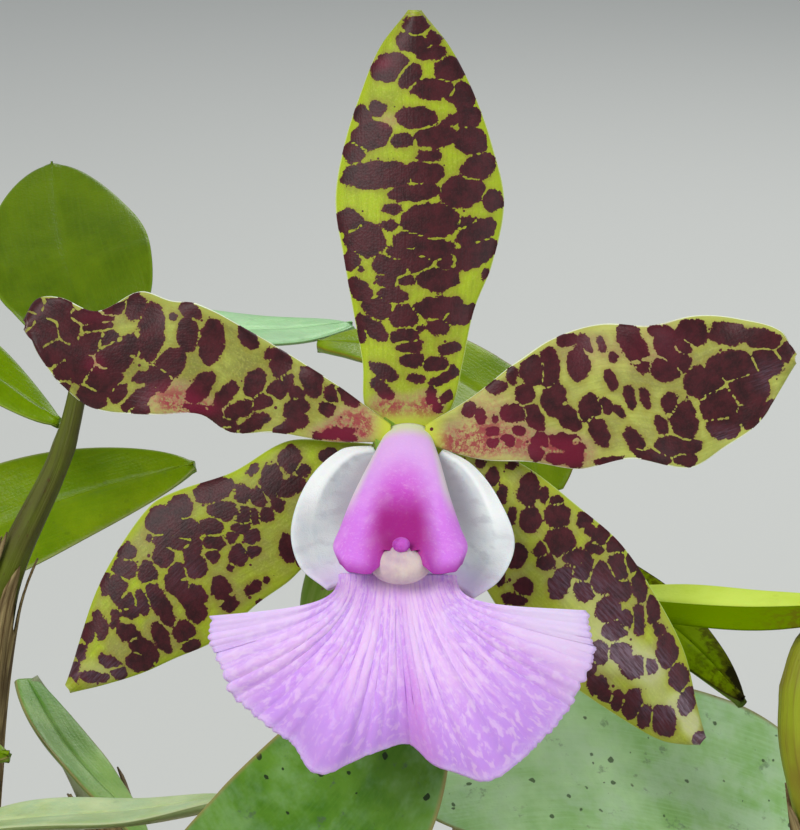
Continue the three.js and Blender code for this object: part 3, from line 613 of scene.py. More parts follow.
def leaf_paint(name, dark, light, bloomed, spots, seed, rim=(150, 132, 84), shaded_half=None,
               wax_color=(164, 196, 158), darkened_tip_and_half=False, gloss=0.12, **sockets):
    """Leathery green: paler midrib, fine lines, dark pits and a dry rim.

    bloomed is the share of wax and spots that of the pits; shaded_half is the colour of painted shade on the
    half of the blade below its midrib, and scorched darkens the tip and that half towards olive-brown and
    near black.
    """
    p = Paint(name)
    along, across, _ = p.mark("mm")
    u, v, face = p.mark("share")
    side = p.size(v)
    place = p.vector(along, across, seed)
    clouds = p.noise(place, 0.09, 4, 0.6)
    lines = p.noise(p.scaled(place, 0.12, 2.6, 1), 1, 4, 0.6)
    p.color = p.blend(p.range(clouds, 0.3, 0.7), dark, light)
    p.tint(lines, 0.4, 0.75, light, 0.3)
    if shaded_half:
        # Painted shade: the half of the blade below the midrib takes the darker colour given for it
        p.tint(v, 0.1, -0.1, shaded_half)
    p.tint(side, 0.12, 0, light, 0.35)
    wax = p.times(p.range(p.noise(place, 0.16, 4, 0.65), 0.4, 0.66), bloomed)
    p.coat(wax, wax_color)
    speck = p.cells(p.shift(place, p.noise(place, 1.1, 2, out="Color"), 0.6), 0.75)
    pit_reach = p.range(p.luck(place, 0.75), 0.55, 1, -0.2, 0.34, smooth=False)
    pits = p.range(p.minus(pit_reach, speck), -0.03, 0.05)
    p.coat(p.times(pits, spots), (34, 48, 24))
    smudge = p.range(p.noise(place, 0.3, 5, 0.7), 0.6, 0.7)
    p.coat(p.times(smudge, spots * 0.6), (74, 84, 78))
    if darkened_tip_and_half:
        # Darker towards the tip and over the half below the midrib: first olive-brown, then near black
        darkening = p.plus(p.range(v, -0.05, -0.8, 0, 0.5, smooth=False),
                      p.range(u, 0.7, 1, 0, 0.8, smooth=False))
        darkening = p.plus(darkening, p.range(p.noise(place, 0.5, 4, 0.7), 0.3, 0.7, -0.25, 0.25))
        p.tint(darkening, 0.25, 0.6, (84, 82, 14), 0.85)
        p.tint(darkening, 0.6, 0.9, (34, 30, 16), 0.95)
    if shaded_half:
        brown = p.times(p.range(u, 0.32, 0.1), p.range(p.noise(place, 1.3, 3), 0.4, 0.62, 0.2, 0.8))
        p.coat(p.times(brown, p.range(v, 0, -0.4)), (96, 84, 18))
        p.tint(v, 0.95, 1, rim, 0.8)
    else:
        p.tint(side, 0.95, 1, rim, 0.8)
        p.tint(face, 0.5, -0.5, (112, 138, 58), 0.6)
    roughness = p.range(wax, 0, 0.6, 0.3, 0.5)
    height = p.plus(p.times(lines, 0.6), p.times(p.cells(place, 2.2), 0.3))
    height = p.minus(height, p.times(pits, 0.5 * spots))
    return p.finish(roughness, height, 0.2, 0.5, gloss, Subsurface_Weight=0.06, Subsurface_Scale=0.001,
                    Coat_Weight=gloss / 4, Coat_Roughness=0.35, **sockets)


def cane_paint(name, green, olive, brown, seed):
    """Olive stem with lengthwise lines and brown freckles."""
    p = Paint(name)
    _, place = p.round_place(3.5, seed)
    lines = p.noise(p.scaled(place, 1.4, 1.4, 0.07), 1, 4, 0.6)
    p.color = p.blend(p.range(p.noise(place, 0.12, 3), 0.3, 0.7), green, olive)
    p.tint(lines, 0.45, 0.75, brown, 0.55)
    freckle = p.range(p.cells(place, 0.9), 0.3, 0.1, 0, 0.8)
    patch = p.range(p.noise(place, 0.25, 3), 0.48, 0.62)
    p.coat(p.times(freckle, patch), (84, 52, 28))
    return p.finish(p.range(lines, 0.3, 0.7, 0.38, 0.58), lines, 0.3, 0.6)


def sheath_paint():
    """Dry papery sheath: tan to brown, with fibres along it."""
    p = Paint("dry_sheath")
    _, place = p.round_place(4)
    fibres = p.noise(p.scaled(place, 2.4, 2.4, 0.06), 1, 5, 0.65)
    p.color = p.blend(p.range(fibres, 0.3, 0.7), (96, 74, 44), (178, 158, 112))
    p.tint(p.noise(place, 0.16, 4), 0.45, 0.65, (70, 50, 30), 0.7)
    return p.finish(0.75, fibres, 0.35, 0.7)


def clay_paint():
    """Unglazed clay: fine grain, turning lines, salt bloom near the foot and under the rim, damp stains."""
    p = Paint("clay")
    place = p.place()
    _, _, high = p.split(place)
    grain = p.noise(place, 900, 4, 0.7)
    clouds = p.noise(place, 22, 4, 0.6)
    rings = p.noise(p.scaled(place, 8, 8, 620), 1, 2)
    p.color = p.blend(p.range(clouds, 0.3, 0.7), (170, 96, 62), (198, 124, 86))
    p.tint(grain, 0.5, 0.75, (214, 158, 122), 0.35)
    bands = p.plus(p.range(high, 0.03, 0, 0, 0.9), p.range(high, 0.045, 0.085, 0.1, 0.7))
    salt = p.times(p.range(p.noise(place, 46, 6, 0.7), 0.48, 0.66), bands)
    p.coat(salt, (222, 206, 188))
    moss = p.times(p.range(p.noise(place, 60, 6, 0.7), 0.55, 0.68), p.range(high, 0.07, 0.02, 0, 0.6))
    p.coat(moss, (96, 98, 54))
    height = p.plus(p.times(grain, 0.5), p.times(rings, 0.7))
    return p.finish(p.range(grain, 0.3, 0.7, 0.78, 0.92), height, 0.35, 0.6)


def bark_paint(name, dark, light, seed):
    """Weathered bark: layered grain, pale worn faces and dark pits."""
    p = Paint(name)
    place = p.place()
    marks = p.node("ShaderNodeAttribute", "Vector", attribute_name="mm")
    grain = p.noise(p.scaled(marks, 0.5, 2.4, 5), 1, 5, 0.65)
    cloud = p.noise(place, 130 + seed, 5, 0.65)
    p.color = p.blend(p.range(cloud, 0.3, 0.7), dark, light)
    p.tint(grain, 0.5, 0.72, (52, 34, 22), 0.7)
    p.tint(p.noise(place, 300, 4), 0.62, 0.75, (176, 146, 108), 0.5)
    height = p.plus(grain, p.times(p.noise(place, 900, 4, 0.7), 0.6))
    return p.finish(0.88, height, 0.6, 0.8)


def root_paint():
    """Silvery velamen, chalky and finely netted, going green and brown at the growing tip."""
    p = Paint("velamen")
    u, place = p.round_place(1.6)
    net = p.noise(place, 1.6, 5, 0.7)
    p.color = p.blend(p.range(net, 0.3, 0.7), (186, 192, 168), (224, 226, 212))
    p.tint(p.noise(place, 0.22, 4), 0.5, 0.7, (128, 142, 92), 0.6)
    p.tint(u, 0.93, 0.985, (112, 148, 58))
    return p.finish(0.75, net, 0.25, 0.6)


def pedicel_paint():
    """Green stalk, brown towards its foot, with pale lines and red freckles."""
    p = Paint("pedicel")
    u, place = p.round_place(2.5)
    lines = p.noise(p.scaled(place, 1.8, 1.8, 0.08), 1, 3)
    p.color = p.blend(p.range(u, 0.2, 0.75), (128, 132, 58), (122, 160, 48))
    p.tint(lines, 0.45, 0.7, (164, 184, 96), 0.5)
    freckle = p.range(p.cells(place, 1.1), 0.26, 0.12, 0, 0.6)
    p.coat(freckle, (126, 62, 70))
    return p.finish(0.45, lines, 0.25, 0.5, Subsurface_Weight=0.12, Subsurface_Scale=0.001)


def spathe_paint():
    """Papery pink-purple sheath with fibres along it."""
    p = Paint("spathe")
    _, place = p.round_place(3)
    fibres = p.noise(p.scaled(place, 2, 2, 0.08), 1, 5, 0.6)
    p.color = p.blend(p.range(fibres, 0.3, 0.7), (140, 92, 112), (186, 142, 150))
    return p.finish(0.65, fibres, 0.3, 0.6)


# Canes, roots and leaves: routes from the CAD model

RHIZOME_Z = BARK_TOP + 2
# Each run of the rhizome: its route, its radius, and how much thinner it gets
RHIZOME = [
    ([[-12, 32, RHIZOME_Z - 1], [-28, 28, RHIZOME_Z], [-39, 15, RHIZOME_Z], [-33, 0, RHIZOME_Z],
      [-18, -13, RHIZOME_Z], [-5, -21, RHIZOME_Z], [6, -24, RHIZOME_Z - 1]], 4, 1.2),
    ([[-34, 4, RHIZOME_Z], [-14, 7, RHIZOME_Z - 1], [8, 11, RHIZOME_Z], [24, 9, RHIZOME_Z],
      [38, -1, RHIZOME_Z], [41, -16, RHIZOME_Z], [38, -29, RHIZOME_Z - 1]], 3.8, 1),
]
# Each cane: its route upwards, and its radius
CANES = {
    "flowering": ([[-6, -21, 84], [-12, -27, 105], [-16, -31, 126], [-16.5, -32, 143]], 4.2),
    "right": ([[40, -22, 84], [58, -30, 112], [67, -31, 140], [66, -29.5, 157], [63, -28, 168],
               [62.8, -26.5, 174], [64.2, -24.8, 179], [68.8, -23.6, 181.4]], 3.8),
    "right_low": ([[39, -5, 84], [52, -2, 104], [65, -4, 124], [72, -8, 140]], 4),
    "behind": ([[18, 10, 84], [22, 11, 120], [28, 8, 155], [32, 6, 186]], 3.4),
    "left": ([[-36, 4, 84], [-42, 5, 125], [-38.5, 9, 171], [-30, 13, 191], [-27, 16, 203]], 2.1),
    "left_front": ([[-33, -1, 84], [-40, -6, 106], [-45, -10, 128], [-45, -11, 146]], 2.8),
    "left_far": ([[-37, 19, 84], [-50, 22, 112], [-60, 24, 142], [-65, 25, 165]], 3.6),
    "old": ([[-16, 31, 83], [-22, 27, 112], [-28, 26, 136], [-38, 30, 151]], 3.2),
}
PEDICEL = [[-15.6, -30.2, 146], [-10.5, -27.6, 150], [-4.7, -25.9, 155.5], [0, -24.6, 162.2],
           [2.8, -24.2, 170], [4.1, -23.8, 177.7], [4.6, -23.4, 185.1], [7.5, -23, 192.9],
           [12.3, -25.5, 201.4], [14.8, -29.2, 206.6]]
PEDICEL_RADIUS = 1.9
OVARY_RADIUS = 2.7
FLARE = 1.1
SPATHE = [[-15.8, -30.4, 144.8], [-10.8, -27.8, 150.2], [-6.7, -26.4, 155.6]]
SPATHE_RADIUS = 3
SPATHE_TOP = 0.88
ROOT_RADIUS = 1.5
ROOTS = {
    "front": [[-16, -16, 84], [-20, -27, 88], [-24, -38, 91], [-29, -49, 95], [-33, -56, 96],
              [-35, -60, 91], [-35, -60.5, 80], [-33, -58, 66], [-31, -55, 52]],
    "front_right": [[6, -26, 84], [14, -33, 88], [24, -36, 87], [31, -38, 82], [36, -40, 77]],
    "right": [[42, -8, 84.5], [50, -7, 93], [57, -5, 97], [62.5, -3, 95], [63.5, 0, 86], [62.5, 3, 76]],
    "back": [[10, 13, 84], [8, 24, 88], [2, 35, 88], [-4, 43, 84], [-7, 46, 77]],
    "left": [[-41, 12, 84.5], [-48, 8, 92], [-55, 3, 97], [-62, -2, 95.5], [-64, -5, 88],
             [-62.5, -8, 76], [-60, -10, 64], [-57, -10, 54]],
}
# Each leaf: its spine from base to tip, the way its face looks, its half width, and how far it folds up
LEAVES = {
    "flowering_upper": ([[-15, -33, 144], [-0.9, -37.7, 154], [8.4, -38, 165], [14, -36, 175],
                         [20, -32, 183]], [-0.3, -0.85, 0.5], 12.5, 0.16),
    "flowering_lower": ([[-18, -31.5, 143], [-29, -33, 143], [-44, -37, 138], [-59, -41, 128]],
                        [0.1, -0.35, 0.95], 12, 0.2),
    "right_low_inner": ([[71, -7.5, 141.5], [54, -13.4, 152], [35.2, -19.7, 158.5], [15, -24.5, 158.5]],
                        [-0.2, -0.6, 0.77], 15.5, 0.1),
    "right_low_outer": ([[73, -7, 141], [84, 2, 147], [94, 14, 147], [100, 27, 140]],
                        [0.1, -0.3, 0.95], 12.5, 0.16),
    "right_inner": ([[67.6, -23.2, 182.8], [61.6, -23.1, 182.5], [55.3, -22.1, 182.1], [47.5, -19.3, 181.5],
                     [40, -15.4, 180.7], [32, -11.2, 179.9]], [0, -0.1, 0.99], 5.4, 0.1),
    "right_outer": ([[70.6, -23.8, 182.2], [79, -22, 191], [88.5, -18, 198], [97, -12, 201]],
                    [-0.4, -0.3, 0.85], 10, 0.2),
    "behind_front": ([[33.6, 4, 183.5], [40.9, -1.7, 177.7], [46.9, -7.7, 175.2], [51.9, -15.8, 173.1],
                      [56, -22, 170.1]], [0.3, -0.8, 0.55], 4.3, 0.15),
    "behind_back": ([[31.7, 6.6, 187], [29.7, 11.1, 194.3], [22.6, 14.7, 198.9], [15.6, 17.8, 202],
                     [8.5, 20.1, 202.7], [3.2, 21.2, 202.7]], [0, -0.21, 0.98], 8, 0.18),
    "left_upper": ([[-26.3, 16.6, 204.2], [-27.7, 21.1, 209], [-29.7, 26.5, 212.7], [-31.7, 34.1, 216.5],
                    [-33.6, 44.1, 221.5]], [0.1, -0.85, 0.45], 10.8, 0.12),
    "left_inner": ([[-25.8, 16.1, 203.4], [-17.5, 19.7, 204.6], [-5.8, 23.6, 203.6], [0.7, 26.3, 203],
                    [7.6, 29.4, 202.8]], [0, -0.03, 1], 7.5, 0.15),
    "left_front_long": ([[-44.6, -11.6, 147.2], [-36.8, -13, 149.2], [-29.1, -13.7, 150.3],
                         [-18.8, -14.4, 151.4], [-7.1, -15.7, 154.1]], [0, 0.14, 0.99], 6, 0.2),
    "left_front_short": ([[-45.8, -9.4, 146.8], [-50, -6.5, 151], [-48, -3.4, 154.2], [-42.5, -2.2, 155],
                          [-36.6, -2.6, 154.2]], [0.2, -0.5, 0.85], 4.2, 0.2),
    "left_far_arched": ([[-65, 26, 166], [-62, 29, 188], [-48, 26, 200], [-31, 18, 193]],
                        [0.6, -0.65, 0.5], 7, 0.15),
    "left_far_inner": ([[-63, 24.5, 165.5], [-51, 26.4, 170.2], [-32.5, 29.8, 177.5], [-14, 30.5, 182.7]],
                       [0.05, -0.6, 0.8], 9, 0.2),
    "old_drooping": ([[-38.2, 28.9, 151.4], [-32.2, 19.6, 146], [-27.8, 14.4, 143.2], [-23.1, 11.1, 139.5],
                      [-19.6, 7.9, 135.9]], [0.5, -0.3, 0.8], 4, 0.3),
}
# Thickness of a leaf in its middle and at its edge
LEAF_MIDRIB = 1.9
LEAF_EDGE = 0.9
CANE_JOINTS = 4
# Dry sheaths of a cane: their number, the share of it that each covers, their distance from it and thickness
SHEATHS = 3
SHEATH_REACH = 0.2
SHEATH_GAP = 0.15
SHEATH_THICKNESS = 0.25

# Points of the grids, along and across a blade, or round and along a stem
LEAF_GRID = (80, 32)
CANE_GRID = (36, 110)
SHEATH_GRID = (40, 16)
ROOT_GRID = (20, 160)
RHIZOME_GRID = (28, 160)
PEDICEL_GRID = (32, 140)


def cane_radius(most):
    """A cane's radius: slim at its foot, full in its upper half and drawn in at its top."""
    return lambda u: most * (0.55 + 0.45 * step(0, 0.55, u)) * (1 - 0.45 * step(0.72, 1, u))


def leaf_width(u):
    """The share of a leaf's full width at shares u of its length."""
    return np.maximum(0.07, np.sin(math.pi * mix(0.055, 1, u) ** 0.85) ** 0.62)


def leaf_middle(spine, face, half, fold):
    """The middle surface of a leaf, as a function of the shares along (0 to 1) and across (-1 to 1)."""
    curve = smooth_curve(spine)
    looks = unit(np.array(face, float))

    def middle(u, v):
        along = heading(curve, u)
        side = unit(np.cross(along, looks))
        up = np.cross(side, along)
        width = (half * leaf_width(u))[..., None]
        v = v[..., None]
        groove = 0.35 * np.exp(-(v / 0.06) ** 2) * np.minimum(1, width / half)
        ripple = 0.25 * np.sin(9 * u + 4 * half)[..., None] * v * v
        rise = fold * width * np.abs(v) ** 1.4 - 0.02 * width - groove + ripple
        return curve(u) + side * width * v + up * rise
    return middle


def make_leaves():
    # Dark and light green, the shares of wax and of pits, a seed, and the rim
    paints = {
        "flowering_upper": leaf_paint("leaf_glossy", (48, 98, 12), (98, 142, 44), 0.2, 0.95, 3),
        "flowering_lower": leaf_paint("leaf_pale", (118, 140, 62), (164, 182, 104), 0.3, 0.4, 9),
        # Painted light: this leaf's greens and wax colour are made much paler than its own, to paint the
        # light that falls on it as well as its wax
        "right_low_inner": leaf_paint("leaf_waxy", (152, 202, 116), (206, 240, 184), 0.6, 0.75, 17,
                                      wax_color=(200, 228, 190)),
        "right_low_outer": leaf_paint("leaf_waxy_far", (74, 108, 48), (126, 158, 92), 0.6, 0.6, 23),
        "right_inner": leaf_paint("leaf_lime_bar", (190, 214, 60), (206, 228, 96), 0, 0.05, 29,
                                  (206, 224, 120), shaded_half=(100, 128, 0), gloss=0, IOR=1.05),
        "right_outer": leaf_paint("leaf_right", (96, 128, 34), (150, 178, 66), 0.25, 0.3, 31),
        "behind_front": leaf_paint("leaf_dark_rim", (118, 146, 0), (148, 174, 14), 0, 0.4, 37,
                                   (50, 38, 22), darkened_tip_and_half=True, gloss=0.02, IOR=1.1),
        "behind_back": leaf_paint("leaf_lime_shade", (98, 128, 0), (134, 158, 20), 0, 0.1, 41,
                                  (120, 104, 30)),
        "left_upper": leaf_paint("leaf_bright", (76, 102, 0), (100, 126, 4), 0, 0.1, 43,
                                 (112, 140, 30)),
        "left_inner": leaf_paint("leaf_mint", (132, 190, 118), (172, 222, 158), 0.5, 0.1, 61,
                                 (160, 206, 150)),
        "left_front_long": leaf_paint("leaf_cream", (164, 190, 120), (206, 222, 166), 0.5, 0.1, 67,
                                      (196, 206, 160)),
        "left_front_short": leaf_paint("leaf_green_tip", (84, 120, 0), (124, 154, 14), 0, 0.1, 71),
        "left_far_arched": leaf_paint("leaf_lime", (102, 136, 0), (134, 166, 8), 0, 0.1, 47,
                                      (150, 170, 70)),
        "left_far_inner": leaf_paint("leaf_soft", (98, 130, 0), (130, 156, 8), 0, 0.15, 53,
                                     (150, 160, 90)),
        "old_drooping": leaf_paint("leaf_grass", (96, 142, 56), (150, 184, 104), 0.1, 0.1, 73),
    }
    for name, (spine, face, half, fold) in LEAVES.items():
        shape = Shape()
        blade(shape, leaf_middle(spine, face, half, fold),
              lambda u, v: mix(LEAF_MIDRIB, LEAF_EDGE, np.abs(v)), *LEAF_GRID)
        shape.build(f"leaf_{name}_fine", f"leaf_{name}", [paints[name]])


def ragged_tube(shape, points, radius, low, high, teeth, slot, seed):
    """A thin torn sheath round part of a stem, closed as a shell with inner and outer walls."""
    sides, rows = SHEATH_GRID
    draws = np.random.default_rng(seed)
    turn = angles(sides)
    tops = high + 0.05 * np.sin(np.arange(sides) / sides * 2 * math.pi * teeth) + 0.03 * draws.random(sides)
    curve = smooth_curve(points)
    share = np.linspace(0, 1, rows + 1)
    u = low + (tops - low)[None, :] * share[:, None]
    side, other = across_stem(heading(curve, u))
    out = np.cos(turn)[None, :, None] * side + np.sin(turn)[None, :, None] * other
    waves = 0.12 * np.sin(5 * turn)[None, :]
    flare = 0.35 * share[:, None] ** 4
    walls = [curve(u) + (wall + waves + flare)[..., None] * out
             for wall in (radius + SHEATH_THICKNESS, radius)]
    rings = np.concatenate([walls[0], walls[1][::-1]])
    run = np.concatenate([share, np.linspace(1, 0, rows + 1)]) * curve.length * (high - low)
    marks = round_marks(run, 0 * run, sides)
    shape.add(rings.reshape(-1, 3), ring_faces(len(rings), sides, closed=True), marks.reshape(-1, 6), slot)


def make_canes():
    sheath = sheath_paint()
    # Two greens, and the brown of the lines
    colors = {
        "flowering": ((120, 134, 44), (150, 146, 62), (126, 96, 50)),
        "right": ((146, 158, 34), (134, 124, 36), (110, 82, 34)),
        "right_low": ((112, 128, 48), (140, 138, 60), (112, 88, 48)),
        "behind": ((124, 140, 48), (150, 148, 66), (120, 90, 46)),
        "left": ((96, 108, 24), (86, 84, 36), (50, 40, 26)),
        "left_front": ((120, 134, 50), (136, 132, 66), (96, 76, 44)),
        "left_far": ((112, 130, 46), (142, 142, 64), (112, 88, 48)),
        "old": ((168, 178, 140), (140, 150, 110), (112, 100, 76)),
    }
    for k, (name, (points, most)) in enumerate(CANES.items()):
        shape = Shape()

        def relief(u, turn):
            grooves = 0.035 * np.cos(9 * turn + 2 * k) * step(0.05, 0.4, u) * (1 - step(0.85, 1, u))
            knots = sum(0.09 * np.exp(-((u - (j + 0.6) / CANE_JOINTS) / 0.012) ** 2)
                        for j in range(CANE_JOINTS))
            return 1 + grooves + knots
        radius = cane_radius(most)
        loft(shape, stem_rings(points, radius, *CANE_GRID, relief))
        for j in range(SHEATHS):
            low = (j + 0.55) / CANE_JOINTS - 0.12
            high = low + SHEATH_REACH
            wide = float(radius(np.array([min(1, low + 0.1)]))[0]) * 1.04 + SHEATH_GAP
            ragged_tube(shape, points, wide, max(0.03, low), high, 3 + j, 1, 50 + 10 * k + j)
        shape.build(f"cane_{name}_fine", f"cane_{name}",
                    [cane_paint(f"cane_{name}", *colors[name], 13 * k), sheath])


def make_roots():
    paint = root_paint()
    for k, (name, points) in enumerate(ROOTS.items()):
        shape = Shape()

        def radius(u):
            tip = np.sqrt(np.clip((1 - u) / 0.035, 0.02, 1))
            return ROOT_RADIUS * (1 - 0.3 * u) * tip

        def relief(u, turn):
            return 1 + 0.06 * np.sin(37 * u + 2 * turn + k) + 0.04 * np.sin(83 * u - 3 * turn)
        loft(shape, stem_rings(points, radius, *ROOT_GRID, relief))
        shape.build(f"root_{name}_fine", f"root_{name}", [paint])
    shape = Shape()
    for points, thick, taper in RHIZOME:
        def relief(u, turn):
            return 1 + 0.07 * np.abs(np.sin(30 * u + 0.4 * np.sin(turn)))
        loft(shape, stem_rings(points, lambda u: thick - taper * u, *RHIZOME_GRID, relief))
    shape.build("rhizome_fine", "rhizome",
                [cane_paint("rhizome", (116, 118, 60), (110, 92, 56), (76, 56, 34), 4)])


def make_pedicel():
    shape = Shape()

    def ribs(u, turn):
        return 1 + 0.07 * np.cos(3 * turn) * step(0.4, 0.7, u)

    def radius(u):
        return mix(PEDICEL_RADIUS, OVARY_RADIUS, step(0.35, 0.8, u)) + FLARE * step(0.93, 1, u)
    loft(shape, stem_rings(PEDICEL, radius, *PEDICEL_GRID, ribs))
    shape.build("pedicel_fine", "ovary_and_pedicel", [pedicel_paint()])
    shape = Shape()
    ragged_tube(shape, SPATHE, SPATHE_RADIUS, 0, SPATHE_TOP, 2, 0, 5)
    shape.build("spathe_fine", "spathe", [spathe_paint()])


# Bloom, in its own frame: x to the right, y away from the viewer, z up, from the bloom's centre

# Each tepal: its two outlines from base to tip in x and z, how deep it starts, how far its tip leans back,
# how far its edges curl back, and the number and height of the waves along them
TEPALS = {
    "sepal_dorsal": dict(
        left=[[-2.6, 1.2], [-5, 3.4], [-5.3, 8.6], [-6.4, 14.8], [-7.4, 20.4], [-8.5, 27.7], [-7.5, 34.3],
              [-5.6, 40.3], [-3.2, 46], [0.2, 50.1]],
        right=[[2.8, 1.2], [5.1, 3.4], [6.4, 8.6], [7.7, 14.8], [9.9, 20.4], [11.3, 27.7], [9.9, 34.3],
               [7.8, 40.3], [4.9, 46], [1.4, 50.1]],
        depth=1.9, lean=1.5, cup=1.6, waves=2, wave=0.25),
    "petal_left": dict(
        left=[[-2, -0.6], [-9.2, -0.5], [-15.5, 0.5], [-20.8, 0.6], [-24.4, 2.7], [-29.8, 2.6],
              [-36.9, 3.4], [-40.5, 6.1], [-42.8, 9.1], [-44.6, 12.6]],
        right=[[-2, 1.5], [-9.2, 6.7], [-17.9, 12], [-24.4, 15.5], [-27.6, 15.9], [-31.4, 17],
               [-36.4, 14.7], [-40.7, 16.3], [-43.4, 16.1], [-44.8, 13.6]],
        depth=-0.4, lean=1.2, cup=0.6, waves=3, wave=1.1),
    "petal_right": dict(
        left=[[2, 1.4], [7.5, 4.7], [12.3, 8.5], [17.2, 11.6], [22.6, 13.2], [28.1, 13], [33.7, 14.2],
              [38.4, 13.9], [43.5, 12.4], [45.2, 9.6]],
        right=[[2, -0.8], [8.5, -2.6], [14.4, -2.9], [20.2, -3.7], [26, -2.5], [32.9, -3.6],
               [36.8, -1.4], [40.9, 1.6], [43.6, 5.8], [45.2, 8.7]],
        depth=-0.4, lean=1.4, cup=0.6, waves=3, wave=1.1),
    "sepal_left": dict(
        left=[[-1.6, -3.8], [-7.6, -9.7], [-13.5, -16.5], [-17.7, -19.6], [-22.6, -23.9], [-27.5, -26.1],
              [-31.6, -27.9], [-36.4, -29.3], [-39.9, -29.9]],
        right=[[-3.2, -0.9], [-9.5, -0.4], [-14.4, -0.6], [-20.7, -4.2], [-27.2, -6.4], [-30.4, -8.2],
               [-35, -14.8], [-37.5, -20.4], [-40, -29.2]],
        depth=2.4, lean=0.8, cup=1.3, waves=2, wave=0.3),
    "sepal_right": dict(
        left=[[3, -0.9], [9, -1.6], [13.7, -3.4], [20, -8.2], [25.2, -12.8], [29.9, -20],
              [32.6, -25.6], [34.1, -32.2], [34.8, -35.5]],
        right=[[1.4, -3.8], [5.5, -11], [9.4, -18.2], [14.2, -25], [20, -29.7], [26.4, -33.9],
               [29.8, -35.7], [32.4, -36.1], [34.4, -36]],
        depth=2.4, lean=0.8, cup=1.3, waves=2, wave=0.3),
}
TEPAL_THICKNESS = 0.85
TEPAL_GRID = (200, 88)


def tepal_middle(left, right, depth, lean, cup, waves, wave):
    """The middle surface of a sepal or petal, which waves and crinkles towards its edges."""
    a = smooth_curve(left)
    b = smooth_curve(right)

    def middle(u, v):
        s = 1 - (1 - u) ** 1.35
        first, second = a(s), b(s)
        t = (v + 1) / 2
        free = step(0.05, 0.3, s)
        ripple = wave * free * v * v * np.sin(2 * math.pi * waves * s + np.where(v > 0, 1.3, 0))
        crinkle = 0.12 * wave * free * v ** 6 * np.sin(2 * math.pi * 9 * s + 5 * v)
        y = depth + lean * s * s + cup * free * (v * v - 0.3) + ripple + crinkle
        return np.stack([mix(first[..., 0], second[..., 0], t), y, mix(first[..., 1], second[..., 1], t)],
                        axis=-1)
    return middle


